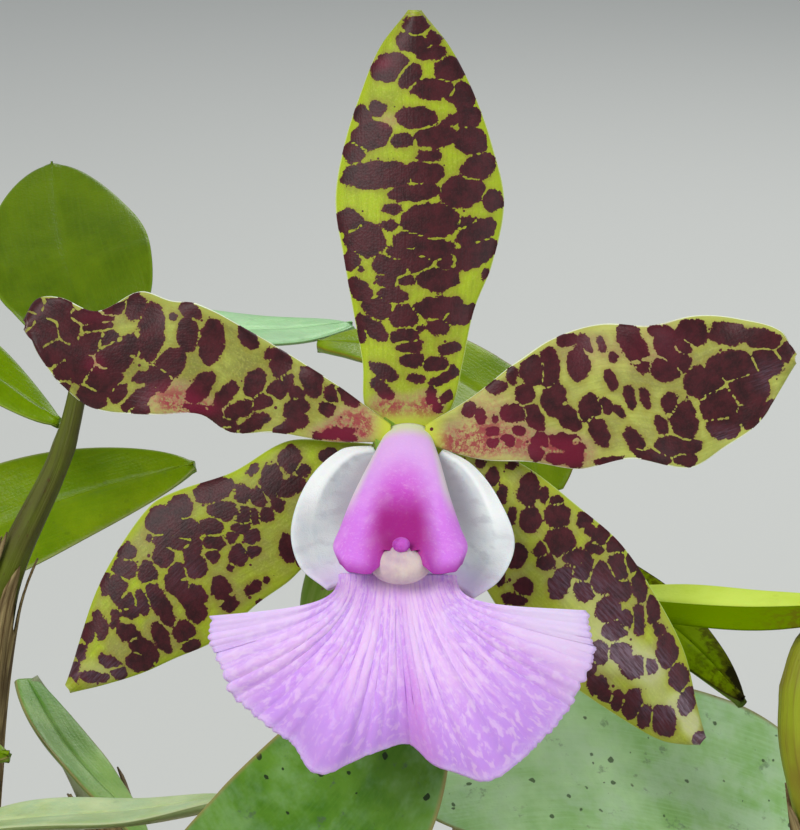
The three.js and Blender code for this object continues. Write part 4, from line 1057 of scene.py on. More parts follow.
# Blotches on the tepals' faces: x, z from the bloom's centre, two half widths, and a turn in degrees if any
BLOTCHES = {
    "sepal_dorsal": [
        (0.9, 48, 1.1, 1.3), (0.7, 46.4, 1.8, 1.2), (2.6, 46.8, 1.2, 0.6, -20), (2.7, 45, 1.6, 0.7, 5),
        (-2, 43.4, 2.2, 1.5, 20), (0.2, 42.3, 1.2, 1.5, -20), (5, 43.2, 2, 1.3, 15), (3, 40.8, 2.8, 1.1, -5),
        (6.3, 40.1, 1.6, 1.4, -30), (-5.2, 37.9, 1, 1, 30), (-3.5, 38.5, 1.1, 0.8), (1, 37.4, 2.3, 1.2, -5),
        (7, 37.5, 1.4, 1.3, 30), (5.2, 37.2, 1.1, 0.5, 15), (-4.3, 35.3, 2.4, 1.6, 20),
        (-6.2, 33.6, 1.3, 1.2, 40), (-0.4, 34.8, 1.5, 0.7), (3.2, 35.2, 2.7, 1.2, 5),
        (7.2, 34.8, 2, 1.5, -10), (2.5, 32.9, 1.4, 0.55), (-3.4, 30.7, 4.3, 1.5, 3), (1.6, 30.9, 2.4, 1.2),
        (8.2, 31.6, 2.2, 1.4, 30), (6.3, 28.8, 2.6, 1.8, 15), (9.9, 27.8, 1.2, 1.2),
        (0.8, 28.6, 2.9, 0.9, 3), (-1.8, 26.7, 1, 0.45, -5), (2.6, 25.3, 3.3, 2), (6.8, 25.2, 1, 0.6, 20),
        (-2.1, 24.8, 0.9, 0.55, -5), (-6.7, 25.2, 1.7, 1.4, -30), (-5, 23.2, 2.4, 1.9, -15),
        (8, 24.1, 2.4, 1.2, 25), (0.2, 22.9, 1.9, 1.2), (2.9, 22, 2.4, 1.2, -5), (-0.8, 21.5, 1.6, 1),
        (7.5, 21.3, 3.3, 1.3, 25), (-6.6, 20.8, 1, 1.2, -20), (-2, 20, 2, 1.2, -15), (1.2, 20.2, 1.6, 1),
        (3.4, 18.6, 2.4, 1.4), (4.8, 20.3, 1.6, 1, 20), (-2.4, 18.3, 1.1, 0.6), (-0.2, 18.3, 1, 0.5),
        (-5.4, 17.1, 2, 0.9, -42), (-3.5, 15.2, 2, 1.1, -25), (-1.8, 16.7, 1.7, 0.8, -5),
        (-0.5, 14.2, 1.8, 1.2), (3.4, 15.2, 2.9, 1.1, 8), (6.3, 14.4, 2.1, 1, 20),
        (-4.2, 12.8, 2.2, 0.9, -35), (-5.2, 12.4, 0.6, 1.2), (3.4, 12.9, 1.2, 0.8, 5), (-0.4, 11.7, 1.5, 1),
        (0.2, 10.8, 1.5, 0.8), (4.8, 10.4, 1.2, 0.6, 10), (0.5, 9, 1.4, 0.7), (3.2, 8.6, 1.3, 0.8, 5),
        (-2.7, 7.6, 1.5, 0.8, -25), (-4, 8.3, 0.6, 0.4, -20), (1, 6.9, 0.9, 0.5), (3.8, 6.8, 1.4, 0.5, 25),
        (5.2, 7.6, 0.6, 0.5, 40), (-3, 5.6, 1.5, 0.6, -45), (2.7, 4.9, 0.5, 1), (4.3, 4.5, 0.9, 0.5, 50),
        (3.5, 3.6, 0.6, 0.5), (9, 19.2, 0.2, 0.6, -30), (-5.3, 19.6, 0.4, 0.3), (1.6, 12.7, 0.5, 0.25)],
    "petal_left": [
        (-43.3, 15.2, 1.2, 0.9), (-44, 13.4, 0.9, 1.1), (-41, 14.8, 1.9, 1.4), (-42.5, 12, 2.2, 2.1),
        (-41, 10, 2.2, 1.9, -20), (-39.7, 8.2, 1.8, 1.6), (-39.8, 12.4, 1.5, 1.9), (-37, 14, 2.6, 0.8, -5),
        (-34.4, 14.8, 1.7, 0.6, 20), (-31.9, 15.2, 1.1, 1.5, -10), (-37.2, 10.9, 2, 1.2, 30),
        (-35.1, 11.3, 1.3, 0.9, 30), (-38.2, 8, 1.8, 1.4, 40), (-34.2, 9.3, 2.2, 1.9, 30),
        (-32.5, 10.6, 1.2, 1.2, 30), (-35.5, 6.6, 2.3, 1.9), (-36.9, 4.9, 1.8, 1.3, -20),
        (-33.8, 5.4, 1.2, 1.1, 20), (-29.9, 12.2, 1.4, 3.4, -6), (-25.6, 12, 1.1, 2),
        (-25.3, 14.7, 1.3, 0.8, -20), (-22.9, 11.1, 1.3, 2.6, -10), (-18.8, 11.7, 0.9, 1.6, 25),
        (-27.6, 8.6, 1.9, 1.5, 45), (-29, 6.9, 1.5, 1.5, 40), (-31.2, 4.6, 2.3, 0.8, 35),
        (-31.1, 7, 0.9, 0.6, 20), (-24.2, 5.8, 2.3, 1, 50), (-21.3, 4.9, 1.9, 0.8, 50),
        (-15, 8.6, 1.2, 1.8, 20), (-16.2, 9.4, 0.5, 0.7), (-17.8, 6.2, 1.1, 1.6, -15),
        (-15.2, 5.5, 1.6, 0.9, 25), (-14.1, 6.5, 0.7, 0.9), (-24.4, 3.3, 1.9, 0.5, -12),
        (-22, 2.4, 2, 0.8, -30), (-19.8, 3.2, 2.4, 0.8, 25), (-17, 4.3, 1.6, 0.8, 20),
        (-17.9, 1.6, 2, 0.7, 25), (-20.4, 1, 0.9, 0.35), (-13, 3.3, 1.4, 1.1, 30),
        (-13.6, 1.4, 2.2, 0.7, 28), (-12.9, 5.1, 0.8, 0.6), (-11.2, 6.5, 1.2, 1.8, 8),
        (-8.9, 5, 0.8, 1.2, -10), (-9.4, 3.4, 0.9, 0.8, 30), (-7.3, 4.8, 1.8, 0.5, -42),
        (-8.6, 0.4, 2.4, 0.5, 8), (-7.3, 0.3, 1.4, 0.5, -25), (-31.2, 3.1, 1, 0.4),
        (-40.1, 5.9, 0.5, 0.6, -20), (-27.2, 14, 0.3, 0.4), (-36.2, 12.9, 1.8, 0.5, 10)],
    "petal_right": [
        (7.2, 3.2, 0.9, 0.6, 20), (8.5, 2.5, 0.5, 0.9, 10), (10.1, 2.1, 0.25, 0.5),
        (9.9, 0.6, 0.7, 0.6, -20), (10, -0.6, 0.6, 0.5), (11.6, -0.3, 0.8, 0.5, -25),
        (12.8, 0.7, 0.6, 0.4, -20), (12.3, 2.8, 1.5, 1), (14.7, 2.4, 1.7, 0.9, -60), (13.6, 4.9, 1, 1.2),
        (14.6, 7.7, 1.7, 1.6), (16.4, 8, 1.2, 2.3), (12.1, 7.2, 0.5, 0.9), (10.4, 5.8, 1.1, 0.7),
        (19.9, 8.5, 1.2, 2), (20.7, 10.9, 0.5, 1.2, 20), (18.6, 11.3, 1.2, 0.7, 10), (17, 4.4, 1.4, 1.8),
        (18.4, 2.6, 2.1, 1, -48), (21.2, 3.3, 1.3, 1.6), (22.2, 0.9, 2.2, 0.9, -62),
        (23, 3.7, 1.1, 0.6, -60), (24.6, 2.9, 0.7, 0.35, -60), (23.7, 6.5, 1.2, 0.55, -75),
        (25.9, 4.6, 1.3, 0.55, -75), (27.7, 4.5, 1.2, 0.5, -75), (24, 9.4, 0.6, 0.3, -60),
        (22.7, 10.8, 0.9, 0.35, -80), (26.2, 10.8, 2.7, 1.3, -62), (27.3, 8.6, 1.1, 0.8, -50),
        (29.4, 12.2, 1.3, 0.8, -10), (30.2, 10.6, 2.3, 1.3, -60), (30, 7.9, 1.8, 1.3, -10),
        (31.9, 8.6, 1, 1.1), (33.1, 12, 1.9, 1.6), (31.9, 10.7, 1.4, 1.1), (31, 3.7, 1.3, 1.4),
        (32, 2.1, 1.5, 2.8, 15), (29.5, 1.4, 1.1, 0.6, -70), (31.4, -1, 2.7, 1.2), (32.4, -2.5, 1.4, 0.8),
        (26.5, -0.4, 1.8, 0.7, -55), (28.3, -2.2, 2.2, 0.6, -20), (23.5, -2.7, 1.5, 0.4, 8),
        (15.4, -0.3, 1, 0.8), (14.9, -1.7, 0.8, 0.9), (18.2, -0.5, 1.9, 0.9, -10), (19.4, -1.7, 1.1, 1.8),
        (17.5, -2.4, 1.4, 0.6), (37.5, 12, 2.2, 1.3), (41.4, 11.4, 2.6, 1.1, -15), (43.8, 10.1, 1, 1.2),
        (38, 8.1, 3.2, 1.8), (34.7, 6.3, 2.5, 1.8), (36.7, 3.8, 2.5, 2.3), (39.5, 5.4, 2.5, 2.4),
        (37, 1.4, 2.1, 1.5), (39.7, 2.8, 1.8, 1.8), (41.8, 8.7, 1.9, 1.7), (41.9, 3, 1.5, 0.8, 50)],
    "sepal_left": [
        (-13.8, -2.7, 1.2, 1.5), (-12.3, -4, 0.8, 0.7), (-18.1, -3.8, 0.8, 0.4, 50),
        (-9.4, -2.2, 1, 0.7, 30), (-16, -5.3, 1.2, 2, -10), (-14.7, -6.1, 1.4, 0.9), (-13.3, -5.6, 1.1, 0.9),
        (-17.4, -7.1, 1, 1.1), (-15.3, -8, 0.7, 0.8), (-16.5, -9.1, 0.8, 0.8), (-19.4, -6.8, 0.8, 1.1),
        (-22.8, -6.3, 2.3, 1.3, 18), (-21.3, -8.8, 2.2, 1, -5), (-19.5, -9.2, 1.1, 1.1),
        (-18, -9.3, 0.45, 0.9), (-19.5, -10.7, 1.3, 0.6), (-18.3, -11.8, 0.8, 1.2), (-20.6, -11.7, 0.5, 0.6),
        (-18.2, -13.1, 0.8, 0.8), (-23, -10.6, 1.2, 1.1), (-22.8, -12.4, 1.1, 0.9),
        (-26.7, -8.4, 1.3, 1.4, 10), (-28.9, -10, 1.8, 1.7), (-26.4, -11, 2, 1.4),
        (-27.6, -12.3, 2.3, 0.9, -5), (-30.3, -11.9, 0.3, 0.4), (-28.6, -14, 1.2, 1.3),
        (-25.2, -13.2, 1, 1.3), (-24.9, -15.2, 1.3, 1.4, -20), (-22.9, -13.9, 0.7, 0.7),
        (-19.9, -13.9, 0.9, 1.2), (-14.2, -13, 0.9, 1.6, 15), (-12.7, -14.5, 0.4, 0.5),
        (-33, -13.7, 0.9, 1.2), (-33.2, -15.4, 1.3, 1.2), (-27, -16, 1, 1.2), (-27, -17.5, 1.7, 1.1, -35),
        (-25.3, -18.8, 1.5, 1.5, -30), (-24.9, -20.5, 1.1, 1.2), (-21.9, -17.9, 1, 1.6, 15),
        (-21.1, -19.4, 1, 0.9), (-18.2, -17.7, 1.1, 0.5, 42), (-20.9, -15.4, 0.2, 0.3),
        (-16.7, -16.7, 0.2, 0.3), (-17.4, -19.4, 0.25, 0.25), (-30.5, -16.2, 0.9, 1.4, 10),
        (-29.2, -19.4, 3.1, 0.9, -62), (-34, -17.9, 1, 1.6, 10), (-33, -19.3, 1.3, 1),
        (-31.3, -19.4, 0.8, 1.4, 15), (-32.5, -20.6, 1, 0.5), (-35.4, -17.4, 0.5, 1.2),
        (-34.3, -21.4, 0.4, 1, -10), (-36.1, -22.2, 0.7, 1.6, 12), (-37.5, -23.2, 0.6, 1.5, -25),
        (-38.3, -25.2, 0.5, 1.5, -15), (-38.9, -27.3, 0.4, 1.2, -10), (-32.8, -23, 1.4, 0.9, -30),
        (-31.1, -24.9, 2, 1.1, -45), (-31.5, -26.3, 1.5, 1.2), (-29, -23.5, 1.8, 0.8, -65),
        (-26.3, -23, 1.2, 1.5), (-25.8, -24.3, 1.1, 1), (-35, -26.4, 1.3, 0.6, -25),
        (-34, -27.6, 0.9, 0.7, -20), (-36.8, -28.1, 1.6, 0.5, -5)],
    "sepal_right": [
        (8.6, -3.2, 0.5, 0.5), (12.1, -3.4, 0.7, 0.4, 25), (9.9, -4.7, 0.6, 0.9), (11, -6.8, 0.5, 1),
        (12.2, -9.3, 0.5, 0.9), (14.1, -6.3, 1.2, 1.9), (14.3, -9.7, 1.2, 1.4), (15.9, -6.9, 0.5, 0.9),
        (17.3, -7.5, 0.8, 0.5), (17.5, -9.4, 1.4, 1.4), (17.8, -12.3, 1.8, 1.6), (15.6, -13.2, 0.9, 0.7, 30),
        (16.2, -14.7, 0.9, 0.8), (12.8, -14, 1.1, 1.4, -20), (10.9, -16.7, 0.5, 0.7), (13.6, -17.7, 1, 1),
        (12.6, -18.9, 1.3, 0.7), (20.7, -9.9, 0.9, 0.9), (21.4, -11, 0.8, 0.6, -30), (22.6, -11.9, 1.1, 1.3),
        (24.3, -12.9, 1.3, 1.1, -30), (19.8, -14.2, 1.7, 0.9, -10), (21, -15.8, 1.3, 1.5),
        (22.7, -16.5, 2.2, 1.7, -20), (24.6, -15.4, 1.3, 2.1), (22, -13, 1.2, 0.7), (24.9, -18, 1.2, 1.4),
        (26.2, -15, 0.9, 1.3, 30), (27.1, -17.6, 0.8, 2.1, 5), (27, -21.4, 0.6, 1.8),
        (28.7, -20.4, 0.7, 1.6), (29.4, -22.7, 0.6, 0.7), (17.8, -17.2, 1.1, 1.8, -25),
        (20.6, -18, 1.1, 1.2), (23.5, -20.4, 1.4, 1.5), (24.3, -22.6, 1.4, 1.2), (25.5, -21.5, 0.9, 1.1),
        (22.4, -25.3, 1.1, 1.3), (21.2, -27, 1, 1), (24.9, -25.3, 1.2, 1.1), (22.4, -29.1, 1.1, 1.1),
        (23.2, -30.4, 0.7, 0.7), (26.5, -27, 1.5, 1.3), (28.3, -26.9, 0.8, 0.8), (30.4, -25.2, 1.1, 2, 5),
        (31.8, -28.4, 1.1, 1.8, 15), (32.6, -30.8, 0.8, 1.8), (24.7, -30.9, 0.6, 1.1, -15),
        (26.4, -31.3, 1, 1.8, -15), (27.9, -32.8, 0.8, 1.3, -10), (30.1, -33.2, 1.3, 1.8, 25),
        (34.2, -35.3, 0.6, 0.4, -30)],
}
# Soft zones: x, z, two half widths and a strength, red where above 0, and a painted grey sheen over paler
# flesh where below, with a painted glint where lowest
ZONES = {
    "sepal_dorsal": [
        (-2.3, 3.4, 1.8, 1.2, 1), (2.2, 3.4, 1.4, 1.4, 1), (-2.2, 37, 1.1, 0.9, 0.5),
        (-2.8, 43.8, 1, 0.8, 0.6)],
    "petal_left": [
        (-6, 2, 1.9, 1.3, 1), (-7.8, 0.4, 2.6, 0.9, 1), (-27.4, 4.6, 2.6, 1.5, 0.8),
        (-24.4, 3.4, 2.4, 0.8, 0.7), (-36.5, 8.6, 1.3, 0.9, 0.6), (-36.5, 14, 2.6, 1, 0.4)],
    "petal_right": [
        (6.4, -0.7, 3, 1.4, 1), (9.5, 3, 3, 2.4, 0.5), (21, 10, 4.5, 2.6, 0.35), (12, -0.5, 3.4, 1.4, 0.5),
        (19.4, -2, 2, 1.6, 0.7), (30, 11, 3, 3, 0.35), (16, -1.5, 2.5, 1.5, 0.5), (37, 0, 2.6, 1.3, -0.7),
        (42.5, 7, 2.4, 2, -0.6)],
    "sepal_left": [
        (-25.5, -16, 3.4, 3, -0.45), (-18.6, -12.5, 2, 2.5, -0.4), (-36.5, -27.5, 3, 2, -0.8),
        (-31.5, -19.5, 1.5, 2, -0.4)],
    "sepal_right": [
        (22.5, -21, 3.2, 4.5, -0.8), (18, -17, 2, 2.5, -0.6), (25, -25.5, 3.4, 2.2, -0.6),
        (31, -32, 2.6, 2.6, -0.6), (28, -27, 2, 1.4, -0.8), (28.5, -30.3, 1.6, 1.8, -0.4),
        (31.8, -31.4, 0.8, 1, -0.9), (33.2, -33.8, 0.7, 1, -1.2), (34.4, -35.8, 0.7, 0.6, -1.4)],
}


def inside(points, x, z, a, b, turn=0):
    """How far points lie inside an ellipse, in mm: below 0 outside it."""
    c, s = math.cos(math.radians(turn)), math.sin(math.radians(turn))
    dx, dz = points[..., 0] - x, points[..., 2] - z
    p, q = (c * dx + s * dz) / a, (c * dz - s * dx) / b
    near = np.sqrt(p * p + q * q)
    steep = np.sqrt((p / a) ** 2 + (q / b) ** 2)
    return near * (1 - near) / np.maximum(steep, 1e-3)


def spot_marks(name):
    """Marks for each point: depth inside the nearest blotch, its lead over the next, and the soft zones."""
    def marks(points):
        depth = np.sort([inside(points, *blotch) for blotch in BLOTCHES[name]], axis=0)
        zone = sum(strength * np.exp(-0.5 * (((points[..., 0] - x) / a) ** 2
                                             + ((points[..., 2] - z) / b) ** 2))
                   for x, z, a, b, strength in ZONES[name])
        return np.stack([depth[-1], depth[-1] - depth[-2], np.clip(zone, -1, 1)], axis=-1)
    return marks


def make_tepals():
    # Bright and olive flesh, the rim colour of the painted edge highlight, and a seed
    colors = {
        "sepal_dorsal": ((168, 188, 30), (150, 164, 34), (196, 212, 120), 11),
        "petal_left": ((170, 176, 80), (132, 130, 62), (236, 242, 220), 23),
        "petal_right": ((186, 192, 92), (150, 146, 80), (236, 242, 210), 37),
        "sepal_left": ((162, 180, 30), (150, 148, 76), (176, 196, 90), 41),
        "sepal_right": ((168, 180, 48), (158, 158, 90), (184, 204, 110), 59),
    }
    for name, form in TEPALS.items():
        shape = Shape()
        blade(shape, tepal_middle(**form), even(TEPAL_THICKNESS), *TEPAL_GRID, extra=spot_marks(name))
        shape.build(f"{name}_fine", name, [tepal_paint(f"tepal_{name}", *colors[name])],
                    in_bloom=True)


# Column: its path, its half width from base to tip, and its height over and under the path
COLUMN_PATH = [[0, 0.6, 0.4], [-0.3, -3.4, -2.6], [-0.8, -8, -7], [-0.9, -12, -11.5], [-0.8, -14.8, -14.5]]
COLUMN_HALF_WIDTH = [[0, 2.6], [0.18, 3.9], [0.36, 5.6], [0.55, 6.9], [0.78, 7.6], [1, 6.9]]
COLUMN_RISE = 3.1
COLUMN_BELLY = 1.4
# Its tip: how far the two wings reach on, the slant of the mouth, and the deepest point of its hollow
COLUMN_WING = 3.5
COLUMN_SLANT = 0.93
COLUMN_HOLLOW = np.array([-0.8, -14.2, -12.4])
# The small beak over the anther cap
BEAD_PLACE = np.array([-0.8, -17, -11.9])
BEAD_SIZE = np.array([1, 0.7, 0.85])
BEAD_GRID = (24, 32)
COLUMN_SIDES = 120
COLUMN_RINGS = 101


def ball(rows, columns):
    """Points of a unit ball, its poles left just open."""
    lat = np.linspace(0.02, 0.98, rows)[:, None] * math.pi
    lon = 2 * math.pi * np.arange(columns)[None, :] / columns
    return np.stack([np.sin(lat) * np.cos(lon), np.sin(lat) * np.sin(lon), np.cos(lat) + 0 * lon], axis=-1)


def make_column():
    curve = smooth_curve(COLUMN_PATH)
    widths = smooth_curve(COLUMN_HALF_WIDTH)
    rings = []
    turn = angles(COLUMN_SIDES)
    c, s = np.cos(turn), np.sin(turn)
    wide = np.abs(c)
    wing = COLUMN_WING * step(0.32, 0.5, wide) * (1 - 0.3 * step(0.85, 1, wide))
    for u in np.linspace(0, 1, COLUMN_RINGS):
        centre = curve(u)
        along = heading(curve, u, 0.02)
        side = np.array([1, 0, 0])
        top = -unit(np.cross(side, along))
        rise = np.where(s > 0, COLUMN_RISE * mix(0.5, 1, u) * s, COLUMN_BELLY * s * mix(1, 0.5, u))
        dent = 0.5 * np.exp(-(c / 0.25) ** 2) * step(0.55, 0.9, u) * (s > 0)
        crease = 0.3 * np.exp(-((wide - 0.6) / 0.14) ** 2) * step(0.35, 0.75, u) * (s > 0)
        rings.append(centre + np.outer(widths(u)[1] * c, side) + np.outer(rise - dent - crease, top)
                     + np.outer((wing + COLUMN_SLANT * (rise - COLUMN_RISE)) * step(0.6, 1, u), along))
    shape = Shape()
    loft(shape, rings, last_middle=COLUMN_HOLLOW)
    loft(shape, (ball(*BEAD_GRID) * BEAD_SIZE + BEAD_PLACE)[::-1], slot=1)
    bead = soft_paint("beak", (200, 92, 204), (168, 52, 164), 900)
    shape.build("column_fine", "column", [column_paint(), bead], in_bloom=True)


ANTHER_PLACE = np.array([-0.9, -15.9, -14.2])
ANTHER_SIZE = np.array([3.4, 2.2, 2.2])
ANTHER_GRID = (56, 72)


def make_anther():
    shape = Shape()
    cap = ball(*ANTHER_GRID)
    narrow = mix(1, 0.72, step(-0.1, 1, cap[..., 2]))[..., None] * [1, 1, 0] + [0, 0, 1]
    groove = 1 - 0.08 * np.exp(-(cap[..., 0] / 0.1) ** 2) * np.clip(-cap[..., 1], 0, 1)
    loft(shape, (cap * narrow * groove[..., None] * ANTHER_SIZE + ANTHER_PLACE)[::-1])
    shape.build("anther_cap_fine", "anther_cap",
                [soft_paint("anther", (220, 202, 196), (200, 174, 186), 520)], in_bloom=True)


# Lip: the two ends of its neck, the hub that its teeth point away from, and its edge, in x and z
NECK_LEFT = np.array([-8.2, -16.1])
NECK_RIGHT = np.array([5.7, -16.3])
LIP_HUB = [-0.8, -18.5]
LIP_EDGE = [[-23.2, -20.8], [-22.9, -24.3], [-21.7, -27], [-20.5, -30.1], [-17, -33.3],
            [-13.5, -35.8], [-11.3, -38.8], [-9.7, -39.1], [-7.4, -38.1], [-3.5, -36.5], [0.1, -35.8],
            [3.2, -38.2], [5.8, -39.1], [9, -40], [12, -38.5], [16.2, -34.7], [18.8, -31.6],
            [20.3, -28.6], [21.6, -25.4], [20.8, -20.2]]
LIP_FRONT = -14.5
LIP_THICKNESS = 0.7
MIDLOBE_GRID = (72, 350)
SIDE_LOBE_GRID = (60, 36)
# The midlobe's fringe: beats across it, each with the beat that makes it uneven, and the teeth's size
TEETH = ((83, 23), (148, 17), (211, 13), (290, 29))
TOOTH = 0.0032
# In the midlobe's middle and at its sides: how far its lines run down from the neck, and how far their ends
# draw back to the hub
LIP_DROP = (6.5, 3.15)
LIP_PULL = (0.33, 0.53)
# Claw: its path in x, y and z, and its half width at both ends
CLAW = [[0, -1.5, -4.5], [-0.4, -5.2, -8.5], [-0.9, -9.6, -13], [-1.1, -12.4, -15.9]]
CLAW_HALF_WIDTH = (3.4, 5.8)
CLAW_THICKNESS = 1.5
CLAW_GRID = (24, 20)
# Side lobes: their inner and outer edges in x, y and z
SIDE_LOBES = {
    1: dict(inner=[[-2.6, -1.5, -2.6], [-4.2, -4.6, -6.2], [-4.9, -8.6, -11], [-4.9, -12, -15.6]],
            outer=[[-4.4, -1.2, -1.2], [-7.8, -2, -1.5], [-11.6, -4.2, -5.1], [-13.4, -6.6, -10.4],
                   [-12.4, -9, -14.6], [-9.2, -11.6, -17.2]]),
    -1: dict(inner=[[2.6, -1.5, -2.6], [4, -4.6, -6.2], [4.2, -8.6, -11], [3.6, -12, -15.6]],
             outer=[[4.2, -1.2, -1.6], [7.4, -2, -3.2], [10.4, -4.2, -7], [12.2, -6.6, -12],
                    [10.6, -9, -16], [7.4, -11.6, -18.2]]),
}


def cubic(a, b, c, d, t):
    """A curve from a to d, drawn towards b and then c."""
    return (1 - t) ** 3 * a + 3 * (1 - t) ** 2 * t * b + 3 * (1 - t) * t * t * c + t ** 3 * d


def midlobe_middle(u, v):
    """The middle surface of the lip's midlobe: a fan from its neck, with folds and a toothed edge."""
    t = (v + 1) / 2
    edge = smooth_curve(LIP_EDGE)(t)
    side = np.abs(v)
    jagged = sum(np.sin(beat * v + 6 * np.sin(uneven * v)) for beat, uneven in TEETH)
    teeth = TOOTH * jagged * (0.25 + step(0.3, 0.7, side))
    neck_x = mix(NECK_LEFT[0], NECK_RIGHT[0], t)
    neck_z = mix(NECK_LEFT[1], NECK_RIGHT[1], t)
    end_x = LIP_HUB[0] + (edge[..., 0] - LIP_HUB[0]) * (1 + teeth)
    end_z = LIP_HUB[1] + (edge[..., 1] - LIP_HUB[1]) * (1 + teeth)
    drop = mix(*LIP_DROP, v * v)
    pull = mix(*LIP_PULL, v * v)
    x = cubic(neck_x, neck_x, mix(edge[..., 0], LIP_HUB[0], pull), end_x, u)
    z = cubic(neck_z, neck_z - drop, mix(edge[..., 1], LIP_HUB[1], pull), end_z, u)
    folds = 0.35 * u * np.cos(9 * math.pi * v) + 0.8 * u * u * np.cos(3.2 * math.pi * v)
    belly = 1.6 * (1 - step(0, 0.3, u)) - 3.2 * np.sin(math.pi * np.minimum(1, 0.75 * u)) + 2.6 * u ** 4
    ridges = 0.1 * step(0.05, 0.5, u) * np.cos(31 * math.pi * v + 2 * np.sin(9 * v))
    ruffle = 0.22 * step(0.75, 1, u) * np.sin(36 * v + 4 * np.sin(11 * v)) * (0.25 + step(0.3, 0.8, side))
    y = LIP_FRONT + belly + folds + ridges + ruffle
    return np.stack([x * LIP_SCALE, y, z * LIP_SCALE], axis=-1)


def claw_middle(u, v):
    """The middle surface of the lip's claw, a shallow trough that widens towards the midlobe."""
    p = smooth_curve(CLAW)(u)
    half = mix(*CLAW_HALF_WIDTH, u)
    return p + np.stack([half * v, -1.4 * v * v, 1.2 * v * v], axis=-1)


def side_lobe_middle(hand, inner, outer):
    """The middle surface of a side lobe, bowed back between its inner and outer edges."""
    a = smooth_curve(inner)
    b = smooth_curve(outer)

    def middle(u, v):
        t = (hand * v + 1) / 2
        p = mix(a(u), b(u), t[..., None])
        p[..., 1] += 2.6 * np.sin(math.pi * t) * np.sin(math.pi * mix(0.12, 0.92, u))
        p[..., 1] += 2.2 * step(0.72, 1, t) * (1 - step(0.3, 0.6, u))
        return p
    return middle


def make_lip():
    shape = Shape()
    blade(shape, midlobe_middle, even(LIP_THICKNESS), *MIDLOBE_GRID)
    blade(shape, claw_middle, even(CLAW_THICKNESS), *CLAW_GRID, slot=1)
    for hand, form in SIDE_LOBES.items():
        blade(shape, side_lobe_middle(hand, **form), even(LIP_THICKNESS), *SIDE_LOBE_GRID, hand, 1)
    shape.build("lip_fine", "lip", [midlobe_paint(), side_lobe_paint()], in_bloom=True)


# Pot and bark

def turned(shape, profile, sides, wobble=None):
    """A closed profile of radius and height, turned round the pot's axis; wobble moves its points."""
    profile = np.array(profile, float)
    turn = angles(sides)
    rings = np.stack([profile[:, 0, None] * np.cos(turn), profile[:, 0, None] * np.sin(turn),
                      profile[:, 1, None] * np.ones(sides)], axis=-1)
    if wobble:
        rings = rings + wobble(rings)
    shape.add(rings, ring_faces(len(rings), sides), rings)


def rounded(points, radius, steps=5):
    """A profile with its inner corners rounded."""
    points = [np.array(p, float) for p in points]
    out = [points[0]]
    for a, b, c in zip(points, points[1:], points[2:]):
        r = min(radius, np.linalg.norm(a - b) * 0.45, np.linalg.norm(c - b) * 0.45)
        start = b + unit(a - b) * r
        end = b + unit(c - b) * r
        for t in np.linspace(0, 1, steps + 1):
            out.append((1 - t) ** 2 * start + 2 * t * (1 - t) * b + t * t * end)
    out.append(points[-1])
    return out


def make_pot():
    floor = WALL + FLOOR_EXTRA
    outline = rounded([[NEAR_AXIS, 0], [FOOT_RADIUS, 0], [SHOULDER_RADIUS, SHOULDER],
                       [RIM_RADIUS, SHOULDER + RIM_SLOPE], [RIM_RADIUS, POT_HEIGHT],
                       [RIM_RADIUS - WALL, POT_HEIGHT], [INNER_RADIUS, SHOULDER - BEND_DROP],
                       [FOOT_RADIUS - WALL + FLOOR_EXTRA, floor], [NEAR_AXIS, floor]], POT_ROUNDING)
    fine = []
    for a, b in zip(outline, outline[1:]):
        pieces = max(1, int(np.linalg.norm(b - a) / POT_STEP))
        fine += [mix(a, b, k / pieces) for k in range(pieces)]
    fine.append(outline[-1])
    shape = Shape()
    turned(shape, fine, POT_SIDES)
    piece = shape.build("pot_fine", "pot", [clay_paint()])
    cutters = []
    for i in range(DRAIN_COUNT):
        turn = 2 * math.pi * i / DRAIN_COUNT
        bpy.ops.mesh.primitive_cylinder_add(
            vertices=DRAIN_SIDES, radius=DRAIN_RADIUS * MM, depth=3 * WALL * MM,
            location=(DRAIN_CIRCLE * math.cos(turn) * MM, DRAIN_CIRCLE * math.sin(turn) * MM, WALL / 2 * MM))
        cutters.append(bpy.context.object)
    for cutter in cutters:
        cut = piece.modifiers.new("drain", "BOOLEAN")
        cut.operation = "DIFFERENCE"
        cut.solver = "EXACT"
        cut.object = cutter
    bpy.context.view_layer.objects.active = piece
    for cut in list(piece.modifiers):
        bpy.ops.object.modifier_apply(modifier=cut.name)
    for cutter in cutters:
        bpy.data.objects.remove(cutter)


def chip_corners(size, draw, jitter=0.3):
    """A box chip's eight corners, jittered, before it is turned and laid."""
    corners = np.array([[x, y, z] for x in (0.5, -0.5) for y in (0.5, -0.5) for z in (0.5, -0.5)])
    corners = corners + jitter * (draw(24).reshape(8, 3) - 0.5) * [1, 1, 0.7]
    return corners * size


def turn_matrix(x, y, z):
    """A turn about x, then y, then z."""
    cx, sx, cy, sy, cz, sz = (f(a) for a in (x, y, z) for f in (math.cos, math.sin))
    rx = np.array([[1, 0, 0], [0, cx, -sx], [0, sx, cx]])
    ry = np.array([[cy, 0, sy], [0, 1, 0], [-sy, 0, cy]])
    rz = np.array([[cz, -sz, 0], [sz, cz, 0], [0, 0, 1]])
    return rz @ ry @ rx


BOX_FACES = [(0, 1, 3, 2), (4, 6, 7, 5), (0, 4, 5, 1), (2, 3, 7, 6), (0, 2, 6, 4), (1, 5, 7, 3)]


